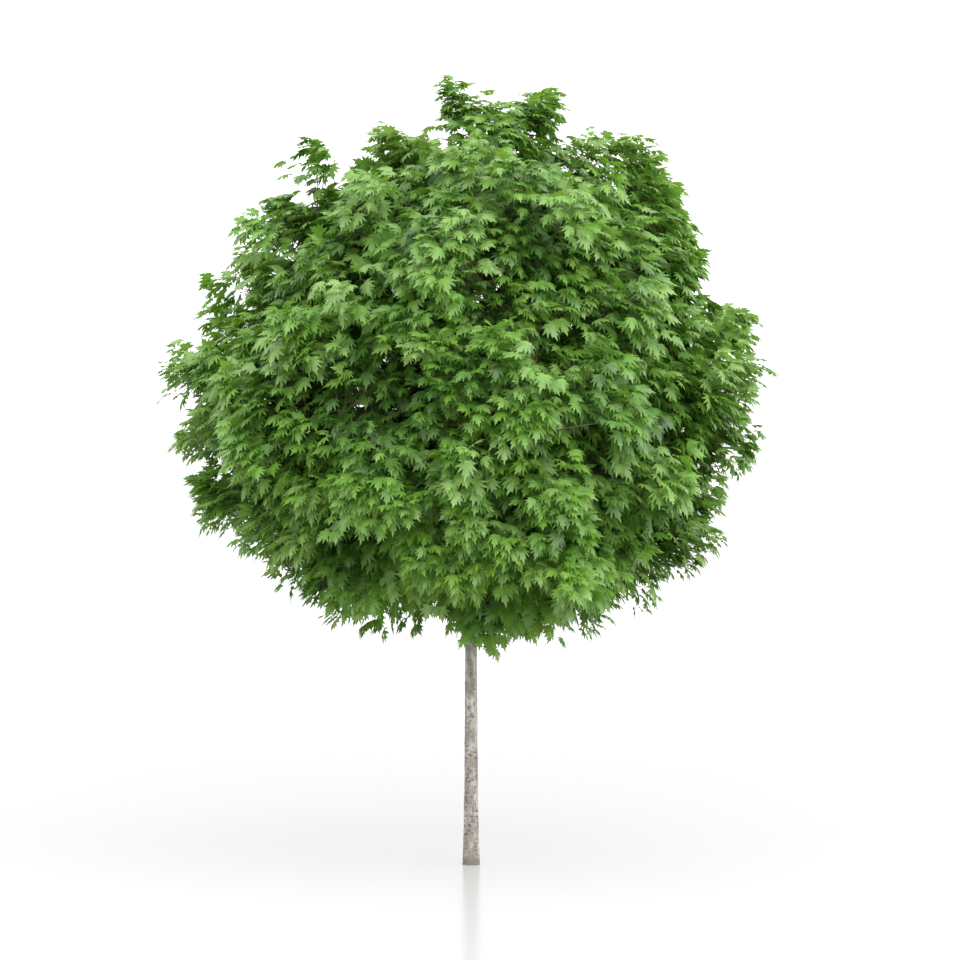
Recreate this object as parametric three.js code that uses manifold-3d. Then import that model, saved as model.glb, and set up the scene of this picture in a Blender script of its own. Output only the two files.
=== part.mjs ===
// A globe-headed maple: a straight clear stem, a knuckle at its top, and a ball of foliage on the boughs
// that spring from the knuckle. Units are millimetres, +Z is up, and the origin is the middle of the cut
// at ground level.

import * as THREE from "three";
import { mergeVertices } from "three/addons/utils/BufferGeometryUtils.js";
import Module from "manifold-3d";

const wasm = await Module();
wasm.setup();

// Driving dimensions of the stem
const KNUCKLE_HEIGHT = 2270; // the boughs spring from here
const KNUCKLE_RADIUS = 52;
const STEM_FOOT_RADIUS = 50; // the stem's taper, without the flare at the root
const STEM_HEAD_RADIUS = 44;
const ROOT_FLARE = 17;
const ROOT_FLARE_HEIGHT = 400;
const STEM_SIDES = 16;
const STEM_STEPS = 9;
const STEM_RING_BIAS = 1.6; // rings lie closer together towards the foot
const KNUCKLE_NECK = 156; // from the knuckle's middle down to where it starts to swell
const KNUCKLE_STEPS = 4;

// Driving dimensions of the crown: an ellipsoid with a taller upper half
const CROWN_CENTRE_HEIGHT = 3450;
const CROWN_HALF_WIDTH = 2350;
const CROWN_RISE = 2655;
const CROWN_DROP = 1880;
const CLUMP_DIP = 0.1; // how far the outline dips between two masses, as a share of its reach
const CLUMP_SPREAD = 0.06; // how much the reach of the masses varies

// Rings of masses from the top down: the polar angle of their middles about the crown's centre, the place of
// their boughs below the knuckle's middle, and the rise of those boughs where they leave it
const RINGS = [
  { name: "top", count: 1, polar: 4, turn: 0, drop: -20, rise: 87 },
  { name: "upper", count: 4, polar: 46, turn: 20, drop: 6, rise: 48 },
  { name: "middle", count: 5, polar: 85, turn: 0, drop: 34, rise: 26 },
  { name: "lower", count: 4, polar: 122, turn: 20, drop: 85, rise: 12 },
];

// Boughs, and the stems of the masses that carry on from them
const BOUGH_RADIUS = 15;
const BOUGH_TIP_RADIUS = 8.5;
const BOUGH_SHARE = 0.5; // of the way from the knuckle to the outline
const BOUGH_SIDES = 6;
const BOUGH_STEPS = 5;
const MASS_STEM_SHARE = 0.8;
const MASS_STEM_TIP_RADIUS = 6;
const MASS_STEM_SIDES = 4;
const MASS_STEM_STEPS = 3;
const LIMB_BEND = 0.5; // where a limb's bend lies, as a share of its length
const GAP = 0.3; // between a limb and what it carries

// Twigs
const TWIG_COUNT = 62;
const TWIG_RADIUS = 8;
const TWIG_TIP_RADIUS = 6.5;
const TWIG_SIDES = 3;
const TWIG_STEPS = 2;
const TWIG_REACH = 0.84; // a twig's tip, as a share of the outline
const TWIG_REACH_SPREAD = 0.04;
const TWIG_BEND = 0.12;
const TWIG_PULL = 0.15; // how far twigs lean in towards the middle of their mass
const FIRST_TWIG = 0.12; // the lowest and highest places of twigs on their mass's stem
const LAST_TWIG = 0.92;
const STRAY_SHARE = 0.08; // of the twigs reach past the outline
const STRAY_REACH = 1.08;

// Leaves, each standing for a spray, in whorls near the end of a twig
const LEAF_LENGTH = 700;
const LEAF_LENGTH_SPREAD = 0.15;
const LEAF_THICKNESS = 11;
const LEAF_RIB = 0.05; // where a leaf is thickest, as a share of its length from the root
const LEAF_SINK = 1; // how far a leaf's root lies beyond the middle of its twig
const LEAF_LOBES = 3;
const LOBE_ANGLE = 72;
const LOBE_REACH = 0.6; // the tip of the middle lobe, from the leaf's middle, as a share of its length
const SIDE_LOBE_SHORTER = 0.08;
const NOTCH_REACH = 0.38;
const LEAF_DROOP = 0.1; // how far the lobes' tips bend down
const LEAVES_IN_WHORL = 3;
const WHORLS = [
  { below: 6, tilt: 32, roll: 0 },
  { below: 70, tilt: 8, roll: 60 },
]; // their distance below the twig's end, how far their leaves stand up, and their turn
const HANG = 0.3; // how much a leaf's own weight turns it down
const TRY_SIZES = [1, 0.88, 0.76, 0.64, 0.52]; // a leaf that does not fit is tried smaller and turned
const TRY_TURNS = [0, -18, 18, -36, 36];
const SPACE_MARGIN = 3; // from a mass to the faces of its own space
const LIMB_CLEARANCE = 20;
const LIMB_SPOTS = 60;

// Repeatable chance: the seed, the mixing numbers, and what each draw is for
const SEED = 39;
const MIX = { first: 12.9898, second: 78.233, seed: 37.719, stretch: 43758.5453 };
const DRAW = { massReach: 1, twigReach: 2, stray: 3, roll: 4, leafLength: 10 };

const GOLDEN_ANGLE = Math.PI * (3 - Math.sqrt(5));
const UP = new THREE.Vector3(0, 0, 1);
const ASIDE = new THREE.Vector3(1, 0, 0);
const STEEP = 0.9; // a twig that rises more than this is set out from the side
const CROWN_CENTRE = new THREE.Vector3(0, 0, CROWN_CENTRE_HEIGHT);
const KNUCKLE = new THREE.Vector3(0, 0, KNUCKLE_HEIGHT);

const BARK = new THREE.MeshStandardMaterial({ color: 0xa69e94, roughness: 0.9, metalness: 0 });
const LEAF_GREEN = new THREE.MeshStandardMaterial({ color: 0x5c823a, roughness: 0.55, metalness: 0 });

// A repeatable number from 0 to 1 for a pair of whole numbers
function chance(first, second) {
  const wave = MIX.stretch * Math.sin(first * MIX.first + second * MIX.second + SEED * MIX.seed);
  return wave - Math.floor(wave);
}

// A repeatable number from -1 to 1
function sway(first, second) {
  return 2 * chance(first, second) - 1;
}

function fromAngles(polar, azimuth) {
  return new THREE.Vector3(
    Math.sin(polar) * Math.cos(azimuth),
    Math.sin(polar) * Math.sin(azimuth),
    Math.cos(polar),
  );
}

// Distance from the crown's centre to the plain ellipsoid
function ellipsoidReach(direction) {
  const rise = direction.z > 0 ? CROWN_RISE : CROWN_DROP;
  return 1 / Math.hypot(Math.hypot(direction.x, direction.y) / CROWN_HALF_WIDTH, direction.z / rise);
}

// The masses of foliage: each has a middle on the outline, and owns the directions from the knuckle that are
// nearest to its own
function layOutMasses() {
  const masses = [];
  for (const ring of RINGS) {
    for (let place = 0; place < ring.count; place++) {
      const azimuth = THREE.MathUtils.degToRad(ring.turn + (360 * place) / ring.count);
      const outward = fromAngles(THREE.MathUtils.degToRad(ring.polar), azimuth);
      const middle = outward.clone().multiplyScalar(ellipsoidReach(outward)).add(CROWN_CENTRE);
      const label = ring.count > 1 ? ring.name + "_" + (place + 1) : ring.name;
      masses.push({ label, ring, azimuth, middle, axis: middle.clone().sub(KNUCKLE).normalize() });
    }
  }
  masses.forEach((mass, number) => {
    mass.reach = 1 + CLUMP_SPREAD * sway(number, DRAW.massReach);
  });
  return masses;
}

const MASSES = layOutMasses();

function ownerOf(point) {
  const direction = point.clone().sub(KNUCKLE).normalize();
  let owner = MASSES[0];
  for (const mass of MASSES) {
    if (direction.dot(mass.axis) > direction.dot(owner.axis)) owner = mass;
  }
  return owner;
}

// How far a point lies towards the edge of a mass: 0 on its axis, 1 halfway to the nearest other axis
function edgeShare(point, mass) {
  const direction = point.clone().sub(KNUCKLE).normalize();
  const own = direction.angleTo(mass.axis);
  let other = Math.PI;
  for (const neighbour of MASSES) {
    if (neighbour !== mass) other = Math.min(other, direction.angleTo(neighbour.axis));
  }
  return Math.min(1, (2 * own) / (own + other));
}

// Distance from the crown's centre to its outline, with a dome on each mass
function outlineReach(direction) {
  const plain = ellipsoidReach(direction);
  const point = direction.clone().multiplyScalar(plain).add(CROWN_CENTRE);
  const mass = ownerOf(point);
  return plain * mass.reach * (1 - CLUMP_DIP * edgeShare(point, mass) ** 2);
}

function insideOutline(point, reach) {
  const arm = point.clone().sub(CROWN_CENTRE);
  const length = arm.length();
  return length <= reach * outlineReach(arm.divideScalar(length));
}

// A point is in a mass's own space if it lies on the mass's side of the plane to each neighbour
function insideSpace(point, mass, margin) {
  const arm = point.clone().sub(KNUCKLE);
  return MASSES.every((neighbour) => {
    if (neighbour === mass) return true;
    const normal = mass.axis.clone().sub(neighbour.axis).normalize();
    return arm.dot(normal) > margin;
  });
}

function bareGeometry(geometry) {
  geometry.deleteAttribute("normal");
  geometry.deleteAttribute("uv");
  return geometry;
}

// A tapering limb: a cylinder whose rings are moved onto a curve
function limbGeometry(curve, radiusAt, sides, steps) {
  const geometry = bareGeometry(new THREE.CylinderGeometry(1, 1, 1, sides, steps));
  const frames = curve.computeFrenetFrames(steps);
  const positions = geometry.attributes.position;
  const vertex = new THREE.Vector3();
  for (let i = 0; i < positions.count; i++) {
    vertex.fromBufferAttribute(positions, i);
    const ring = Math.round((vertex.y + 0.5) * steps);
    const radius = radiusAt(ring / steps);
    const placed = curve
      .getPointAt(ring / steps)
      .addScaledVector(frames.binormals[ring], vertex.x * radius)
      .addScaledVector(frames.normals[ring], vertex.z * radius);
    positions.setXYZ(i, placed.x, placed.y, placed.z);
  }
  return mergeVertices(geometry);
}

function taper(from, to) {
  return (share) => from + (to - from) * share;
}

function solidOf(geometry) {
  return new wasm.Manifold(
    new wasm.Mesh({
      numProp: 3,
      vertProperties: new Float32Array(geometry.attributes.position.array),
      triVerts: new Uint32Array(geometry.index.array),
    }),
  );
}

function geometryOf(solid) {
  const mesh = solid.getMesh();
  return new THREE.BufferGeometry()
    .setAttribute("position", new THREE.BufferAttribute(new Float32Array(mesh.vertProperties), 3))
    .setIndex(new THREE.BufferAttribute(new Uint32Array(mesh.triVerts), 1));
}

// Fuses pieces into one body, and drops any scrap that stays loose
function fuse(geometries) {
  const bodies = wasm.Manifold.union(geometries.map(solidOf)).decompose();
  bodies.sort((a, b) => b.volume() - a.volume());
  return geometryOf(bodies[0]);
}

// The stem's radius at a height, with its flare at the root
function stemRadius(height) {
  const plain = taper(STEM_FOOT_RADIUS, STEM_HEAD_RADIUS)(height / KNUCKLE_HEIGHT);
  return plain + ROOT_FLARE * Math.exp(-height / ROOT_FLARE_HEIGHT);
}

// The stem as a turned shape: a flat cut at the ground, the flare, the taper and a domed knuckle
function stemGeometry(growth) {
  const profile = [new THREE.Vector2(0, 0)];
  const neck = KNUCKLE_HEIGHT - KNUCKLE_NECK;
  for (let step = 0; step <= STEM_STEPS; step++) {
    const height = neck * (step / STEM_STEPS) ** STEM_RING_BIAS;
    profile.push(new THREE.Vector2(stemRadius(height) + growth, height));
  }
  const dome = KNUCKLE_RADIUS + growth;
  for (let step = 0; step < KNUCKLE_STEPS; step++) {
    const angle = (Math.PI / 2) * (step / KNUCKLE_STEPS);
    profile.push(new THREE.Vector2(dome * Math.cos(angle), KNUCKLE_HEIGHT + dome * Math.sin(angle)));
  }
  profile.push(new THREE.Vector2(0, KNUCKLE_HEIGHT + dome));
  return mergeVertices(bareGeometry(new THREE.LatheGeometry(profile, STEM_SIDES)).rotateX(Math.PI / 2));
}

// A bough springs from the knuckle at its ring's own rise and bends towards its mass
function boughCurve(mass) {
  const foot = KNUCKLE.clone().addScaledVector(UP, -mass.ring.drop);
  const rise = THREE.MathUtils.degToRad(mass.ring.rise);
  const leaving = fromAngles(Math.PI / 2 - rise, mass.azimuth);
  const tip = foot.clone().lerp(mass.middle, BOUGH_SHARE);
  const bend = foot.clone().addScaledVector(leaving, LIMB_BEND * foot.distanceTo(tip));
  return new THREE.QuadraticBezierCurve3(foot, bend, tip);
}

// A mass's own stem carries on from its bough's tip, a hair clear of it
function massStemCurve(mass) {
  const bough = boughCurve(mass);
  const along = bough.getTangentAt(1);
  const foot = bough.getPointAt(1).addScaledVector(along, GAP);
  const tip = KNUCKLE.clone().lerp(mass.middle, MASS_STEM_SHARE);
  const bend = foot.clone().addScaledVector(along, LIMB_BEND * foot.distanceTo(tip));
  return new THREE.QuadraticBezierCurve3(foot, bend, tip);
}

// Twig tips lie even on all sides, on a golden spiral over the crown, and lean in towards their mass's middle
function layOutTwigs() {
  const twigs = [];
  for (let number = 0; number < TWIG_COUNT; number++) {
    const polar = Math.acos(1 - (2 * (number + 0.5)) / TWIG_COUNT);
    const direction = fromAngles(polar, number * GOLDEN_ANGLE);
    const reach = chance(number, DRAW.stray) < STRAY_SHARE ? STRAY_REACH : 1;
    const share = reach * (TWIG_REACH + TWIG_REACH_SPREAD * sway(number, DRAW.twigReach));
    const tip = direction.clone().multiplyScalar(outlineReach(direction) * share).add(CROWN_CENTRE);
    const mass = ownerOf(tip);
    const middle = KNUCKLE.clone().addScaledVector(mass.axis, tip.distanceTo(KNUCKLE));
    twigs.push({ number, mass, reach, tip: tip.lerp(middle, TWIG_PULL) });
  }
  return twigs;
}

// A twig leaves its mass's stem at its own place and bends away from it
function twigCurve(tip, stem, place) {
  const foot = stem.getPointAt(place);
  const along = stem.getTangentAt(place);
  const bend = foot.clone().lerp(tip, 0.5).addScaledVector(along, TWIG_BEND * foot.distanceTo(tip));
  return new THREE.QuadraticBezierCurve3(foot, bend, tip);
}

// The twigs of a mass spring one above another from its stem, the widest reaching ones lowest
function twigsOf(mass, twigs, stem) {
  const own = twigs.filter((twig) => twig.mass === mass);
  own.sort((a, b) => edgeShare(b.tip, mass) - edgeShare(a.tip, mass));
  const spread = taper(FIRST_TWIG, LAST_TWIG);
  return own.map((twig, rank) => {
    const curve = twigCurve(twig.tip, stem, spread(rank / Math.max(1, own.length - 1)));
    return { ...twig, curve };
  });
}

// The ring of a blade: each lobe's tip, the notches between them, and the root
function bladeRing() {
  const ring = [];
  const half = (LEAF_LOBES - 1) / 2;
  for (let lobe = -half; lobe <= half; lobe++) {
    const angle = THREE.MathUtils.degToRad(lobe * LOBE_ANGLE);
    ring.push({ angle, share: LOBE_REACH - SIDE_LOBE_SHORTER * Math.abs(lobe), droop: LEAF_DROOP });
    if (lobe < half) {
      const between = THREE.MathUtils.degToRad((lobe + 0.5) * LOBE_ANGLE);
      ring.push({ angle: between, share: NOTCH_REACH, droop: 0 });
    }
  }
  ring.push({ angle: Math.PI, share: 1 - LOBE_REACH, droop: 0 });
  return ring;
}

const BLADE_RING = bladeRing();

// A lobed blade: a flat ball of one ring, whose ring is drawn out to lobes and notches
function leafGeometry(foot, heading, facing, length) {
  const geometry = bareGeometry(new THREE.SphereGeometry(1, BLADE_RING.length, 2));
  const across = facing.clone().cross(heading);
  const middle = foot.clone().addScaledVector(heading, (1 - LOBE_REACH) * length);
  const rib = foot.clone().addScaledVector(heading, LEAF_RIB * length);
  const positions = geometry.attributes.position;
  const columns = BLADE_RING.length + 1;
  for (let i = 0; i < positions.count; i++) {
    const row = Math.floor(i / columns);
    const placed = row === 1 ? middle.clone() : rib.clone();
    if (row === 1) {
      const { angle, share, droop } = BLADE_RING[(i % columns) % BLADE_RING.length];
      placed.addScaledVector(heading, length * share * Math.cos(angle));
      placed.addScaledVector(across, length * share * Math.sin(angle));
      placed.addScaledVector(facing, -droop * length);
    } else {
      placed.addScaledVector(facing, row === 0 ? LEAF_THICKNESS / 2 : -LEAF_THICKNESS / 2);
    }
    positions.setXYZ(i, placed.x, placed.y, placed.z);
  }
  return mergeVertices(geometry);
}

// The places of a twig's leaves
function leafSlots() {
  const slots = [];
  for (const { below, tilt, roll } of WHORLS) {
    for (let leaf = 0; leaf < LEAVES_IN_WHORL; leaf++) {
      slots.push({ number: slots.length, below, tilt, roll: roll + (360 * leaf) / LEAVES_IN_WHORL });
    }
  }
  return slots;
}

const LEAF_SLOTS = leafSlots();

// A leaf on a twig: it stands out all round it, tilted towards the twig's end, and hangs a little
function leafOn(curve, slot, key, size, offset) {
  const along = curve.getTangentAt(1);
  const foot = curve.getPointAt(1).addScaledVector(along, -slot.below);
  const side = along.clone().cross(along.z < STEEP ? UP : ASIDE).normalize();
  const roll = THREE.MathUtils.degToRad(slot.roll + offset + 360 * chance(key, DRAW.roll));
  const radial = side.applyAxisAngle(along, roll);
  const tilt = THREE.MathUtils.degToRad(slot.tilt);
  const facing = along.clone().multiplyScalar(Math.cos(tilt)).addScaledVector(radial, -Math.sin(tilt));
  const heading = radial.multiplyScalar(Math.cos(tilt)).addScaledVector(along, Math.sin(tilt));
  heading.addScaledVector(UP, -HANG).addScaledVector(facing, HANG * facing.z).normalize();
  const length = LEAF_LENGTH * size * (1 + LEAF_LENGTH_SPREAD * sway(key, DRAW.leafLength + slot.number));
  return leafGeometry(foot.addScaledVector(heading, -LEAF_SINK), heading, facing, length);
}

function cornersOf(geometry) {
  const positions = geometry.attributes.position;
  const corners = [];
  for (let i = 0; i < positions.count; i++) {
    corners.push(new THREE.Vector3().fromBufferAttribute(positions, i));
  }
  return corners;
}

function facesOf(geometry) {
  const corners = cornersOf(geometry);
  const index = geometry.index.array;
  const faces = [];
  for (let i = 0; i < index.length; i += 3) {
    faces.push([corners[index[i]], corners[index[i + 1]], corners[index[i + 2]]]);
  }
  return faces;
}

// Whether no face of a piece comes near the middle line of a limb
function clearOfLimbs(geometry, limbs) {
  const faces = facesOf(geometry);
  const box = new THREE.Box3().setFromPoints(faces.flat());
  const triangles = faces.map((face) => new THREE.Triangle(...face));
  const nearest = new THREE.Vector3();
  return limbs.every(({ spots, radius }) => {
    const reach = radius + LIMB_CLEARANCE;
    const near = spots.filter((spot) => box.distanceToPoint(spot) < reach);
    return near.every((spot) =>
      triangles.every((triangle) => triangle.closestPointToPoint(spot, nearest).distanceTo(spot) > reach),
    );
  });
}

function keepsToSpace(geometry, mass, reach) {
  return cornersOf(geometry).every(
    (corner) => insideSpace(corner, mass, SPACE_MARGIN) && insideOutline(corner, reach),
  );
}

// Whether an edge of one piece runs through a face of another
function pierces(faces, others) {
  const hit = new THREE.Vector3();
  for (const face of faces) {
    for (let side = 0; side < 3; side++) {
      const from = face[side];
      const edge = face[(side + 1) % 3].clone().sub(from);
      const length = edge.length();
      const ray = new THREE.Ray(from, edge.divideScalar(length));
      for (const other of others) {
        if (ray.intersectTriangle(...other, false, hit) && from.distanceTo(hit) < length) return true;
      }
    }
  }
  return false;
}

// A leaf as it is tested against the leaves of other twigs
function outlined(geometry, key) {
  const faces = facesOf(geometry);
  return { geometry, key, faces, box: new THREE.Box3().setFromPoints(faces.flat()) };
}

function cutsInto(piece, placed) {
  return placed.some(
    (other) =>
      piece.key !== other.key &&
      piece.box.intersectsBox(other.box) &&
      (pierces(piece.faces, other.faces) || pierces(other.faces, piece.faces)),
  );
}

// The first blade, of a few sizes and turns, that keeps to its mass's space and off limbs and other leaves
function fittingLeaves(curve, slot, key, mass, reach, limbs, placed) {
  for (const size of TRY_SIZES) {
    for (const offset of TRY_TURNS) {
      const leaf = leafOn(curve, slot, key, size, offset);
      if (!keepsToSpace(leaf, mass, reach) || !clearOfLimbs(leaf, limbs)) continue;
      const piece = outlined(leaf, key);
      if (!cutsInto(piece, placed)) return [piece];
    }
  }
  return [];
}

// A mass: its stem, the twigs that its share of the spiral gives it, and the leaves that fit
function massGeometry(mass, twigs, limbs) {
  const stem = massStemCurve(mass);
  const stemRadiusAt = taper(BOUGH_TIP_RADIUS, MASS_STEM_TIP_RADIUS);
  const wood = [limbGeometry(stem, stemRadiusAt, MASS_STEM_SIDES, MASS_STEM_STEPS)];
  const placed = [];
  for (const { number, reach, curve } of twigsOf(mass, twigs, stem)) {
    const twig = limbGeometry(curve, taper(TWIG_RADIUS, TWIG_TIP_RADIUS), TWIG_SIDES, TWIG_STEPS);
    if (!keepsToSpace(twig, mass, reach) || !clearOfLimbs(twig, limbs)) continue;
    wood.push(twig);
    for (const slot of LEAF_SLOTS) {
      placed.push(...fittingLeaves(curve, slot, number, mass, reach, limbs, placed));
    }
  }
  return fuse([...wood, ...placed.map((piece) => piece.geometry)]);
}

// A limb as the leaves are tested against it: places along its middle line, and its radius
function sampledLimb(curve, radius) {
  return { spots: curve.getSpacedPoints(LIMB_SPOTS), radius };
}

const tree = new THREE.Group();

function addNode(name, geometry, material) {
  const mesh = new THREE.Mesh(geometry, material);
  mesh.name = name;
  tree.add(mesh);
}

addNode("trunk", stemGeometry(0), BARK);

const clearStem = solidOf(stemGeometry(GAP));
const boughRadiusAt = taper(BOUGH_RADIUS, BOUGH_TIP_RADIUS);
for (const mass of MASSES) {
  const bough = solidOf(limbGeometry(boughCurve(mass), boughRadiusAt, BOUGH_SIDES, BOUGH_STEPS));
  addNode("bough_" + mass.label, geometryOf(bough.subtract(clearStem)), BARK);
}

const trunkLine = new THREE.LineCurve3(new THREE.Vector3(0, 0, 0), KNUCKLE);
const limbs = MASSES.map((mass) => sampledLimb(boughCurve(mass), BOUGH_RADIUS));
limbs.push(sampledLimb(trunkLine, KNUCKLE_RADIUS));
const twigs = layOutTwigs();
for (const mass of MASSES) {
  addNode("foliage_" + mass.label, massGeometry(mass, twigs, limbs), LEAF_GREEN);
}

export default tree;
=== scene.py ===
import logging
import math
from dataclasses import dataclass, field
from enum import Enum, IntEnum
from typing import Union

import bpy
import numpy as np
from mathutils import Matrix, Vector


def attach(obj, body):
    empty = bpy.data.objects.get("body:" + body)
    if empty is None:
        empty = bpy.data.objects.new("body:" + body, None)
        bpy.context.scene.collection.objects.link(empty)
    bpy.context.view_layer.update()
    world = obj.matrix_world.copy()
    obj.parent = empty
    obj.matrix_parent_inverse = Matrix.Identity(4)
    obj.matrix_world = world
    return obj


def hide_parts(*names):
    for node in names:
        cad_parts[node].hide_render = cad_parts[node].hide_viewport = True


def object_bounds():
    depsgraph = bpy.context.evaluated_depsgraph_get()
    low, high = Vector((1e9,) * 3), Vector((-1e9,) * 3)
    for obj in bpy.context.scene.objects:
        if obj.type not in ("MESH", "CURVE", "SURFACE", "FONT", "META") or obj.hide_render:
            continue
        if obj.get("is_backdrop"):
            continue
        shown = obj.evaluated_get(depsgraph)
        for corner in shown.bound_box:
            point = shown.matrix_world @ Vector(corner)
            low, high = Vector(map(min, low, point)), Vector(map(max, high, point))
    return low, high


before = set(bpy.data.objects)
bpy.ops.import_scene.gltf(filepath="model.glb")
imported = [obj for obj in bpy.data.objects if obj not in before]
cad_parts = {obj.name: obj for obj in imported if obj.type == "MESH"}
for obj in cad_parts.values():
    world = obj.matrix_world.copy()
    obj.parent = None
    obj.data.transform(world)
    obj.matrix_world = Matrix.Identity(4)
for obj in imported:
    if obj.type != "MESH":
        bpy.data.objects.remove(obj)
CAD_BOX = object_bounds()

log = logging.getLogger("globe_maple")

Array = np.ndarray
Colour = tuple[float, float, float]
Place = tuple[float, float, float]
Step = tuple[float, float]
Number = Union["Value", float]

GOLDEN_ANGLE = math.pi * (3 - math.sqrt(5))
UP = np.array([0.0, 0.0, 1.0])
ASIDE = np.array([1.0, 0.0, 0.0])
STEEP = 0.9
MIDDLE = 0.5
TINY = 1e-9
EVEN = (1, 1, 1)
BODY = "root"
LEAF_MAP = "blade"
LEAF_MAP_SCALE = 0.5
LEAF_MAP_FOOT = (0.5, 0.25)


class Slot(Enum):
    """The record's material slots."""

    BARK = "bark"
    LEAVES = "leaves"


class Draw(IntEnum):
    """What each repeatable draw is for. The first three are the solids' own."""

    MASS_REACH = 1
    TWIG_REACH = 2
    STRAY = 3
    CLUMP_PLACE = 11
    SPRIG_REACH = 20
    SPRIG_STRAY = 21
    SPRIG_TINT = 22
    SHOOT_ROLL = 23
    SHOOT_LENGTH = 24
    SHOOT_TINT = 25
    SHOOT_PLACE = 26
    LEAF_ROLL = 27
    SPRIG_LIMIT = 28
    LEAF_HANG = 30
    LEAF_SIDE = 50
    LEAF_LIFT = 70
    LEAF_SIZE = 90
    LEAF_FORM = 110


def lengths(vectors: Array) -> Array:
    """The vectors' lengths, as a column."""
    return np.linalg.norm(vectors, axis=-1, keepdims=True)


def unit(vectors: Array) -> Array:
    """The vectors, each brought to a length of one."""
    return vectors / np.maximum(lengths(vectors), TINY)


def from_angles(polar: Array, azimuth: Array) -> Array:
    """Directions from their angle to the upright and their turn about it."""
    flat = np.sin(polar)
    return np.stack([flat * np.cos(azimuth), flat * np.sin(azimuth), np.cos(polar)], axis=-1)


def lerp(start: Array, end: Array, share: Union[Array, float]) -> Array:
    """The place that lies a share of the way from start to end."""
    return start + (end - start) * share


def spiral(count: int) -> Array:
    """Directions spread evenly over a ball, on a golden spiral."""
    number = np.arange(count)
    return from_angles(np.arccos(1 - 2 * (number + MIDDLE) / count), number * GOLDEN_ANGLE)


def square_to(along: Array, roll: Array) -> Array:
    """Directions square to others.

    Args:
        along: The directions to stand square to.
        roll: The turn about each of them, in radians.

    Returns:
        One direction for each of them.
    """
    side = unit(np.cross(along, np.where(along[..., 2:] < STEEP, UP, ASIDE)))
    other = np.cross(along, side)
    return side * np.cos(roll)[..., None] + other * np.sin(roll)[..., None]


class Value:
    """A number on a surface. Arithmetic on it adds Math nodes to its shader tree."""

    def __init__(self, graph: "Graph", socket: bpy.types.NodeSocket) -> None:
        """Wraps a socket of a shader tree."""
        self.graph = graph
        self.socket = socket

    def math(self, operation: str, other: Number = 0.0, swapped: bool = False) -> "Value":
        """Adds one Math node.

        Args:
            operation: The node's operation.
            other: The second number.
            swapped: Whether the second number comes first.

        Returns:
            The result.
        """
        pair = (other, self) if swapped else (self, other)
        made = self.graph.node("ShaderNodeMath", {"operation": operation}, {0: pair[0], 1: pair[1]})
        return Value(self.graph, made.outputs[0])

    def __add__(self, other: Number) -> "Value":
        """Sum."""
        return self.math("ADD", other)

    __radd__ = __add__

    def __sub__(self, other: Number) -> "Value":
        """Difference."""
        return self.math("SUBTRACT", other)

    def __rsub__(self, other: Number) -> "Value":
        """Difference, the other way round."""
        return self.math("SUBTRACT", other, swapped=True)

    def __mul__(self, other: Number) -> "Value":
        """Product."""
        return self.math("MULTIPLY", other)

    __rmul__ = __mul__

    def __abs__(self) -> "Value":
        """Size without its sign."""
        return self.math("ABSOLUTE")

    def smooth(self, low: float, high: float) -> "Value":
        """A soft step.

        Args:
            low: Where the step is still 0.
            high: Where it has reached 1.

        Returns:
            Numbers from 0 to 1.
        """
        made = self.graph.node(
            "ShaderNodeMapRange",
            {"interpolation_type": "SMOOTHSTEP"},
            {"Value": self, "From Min": low, "From Max": high},
        )
        return Value(self.graph, made.outputs[0])


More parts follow.
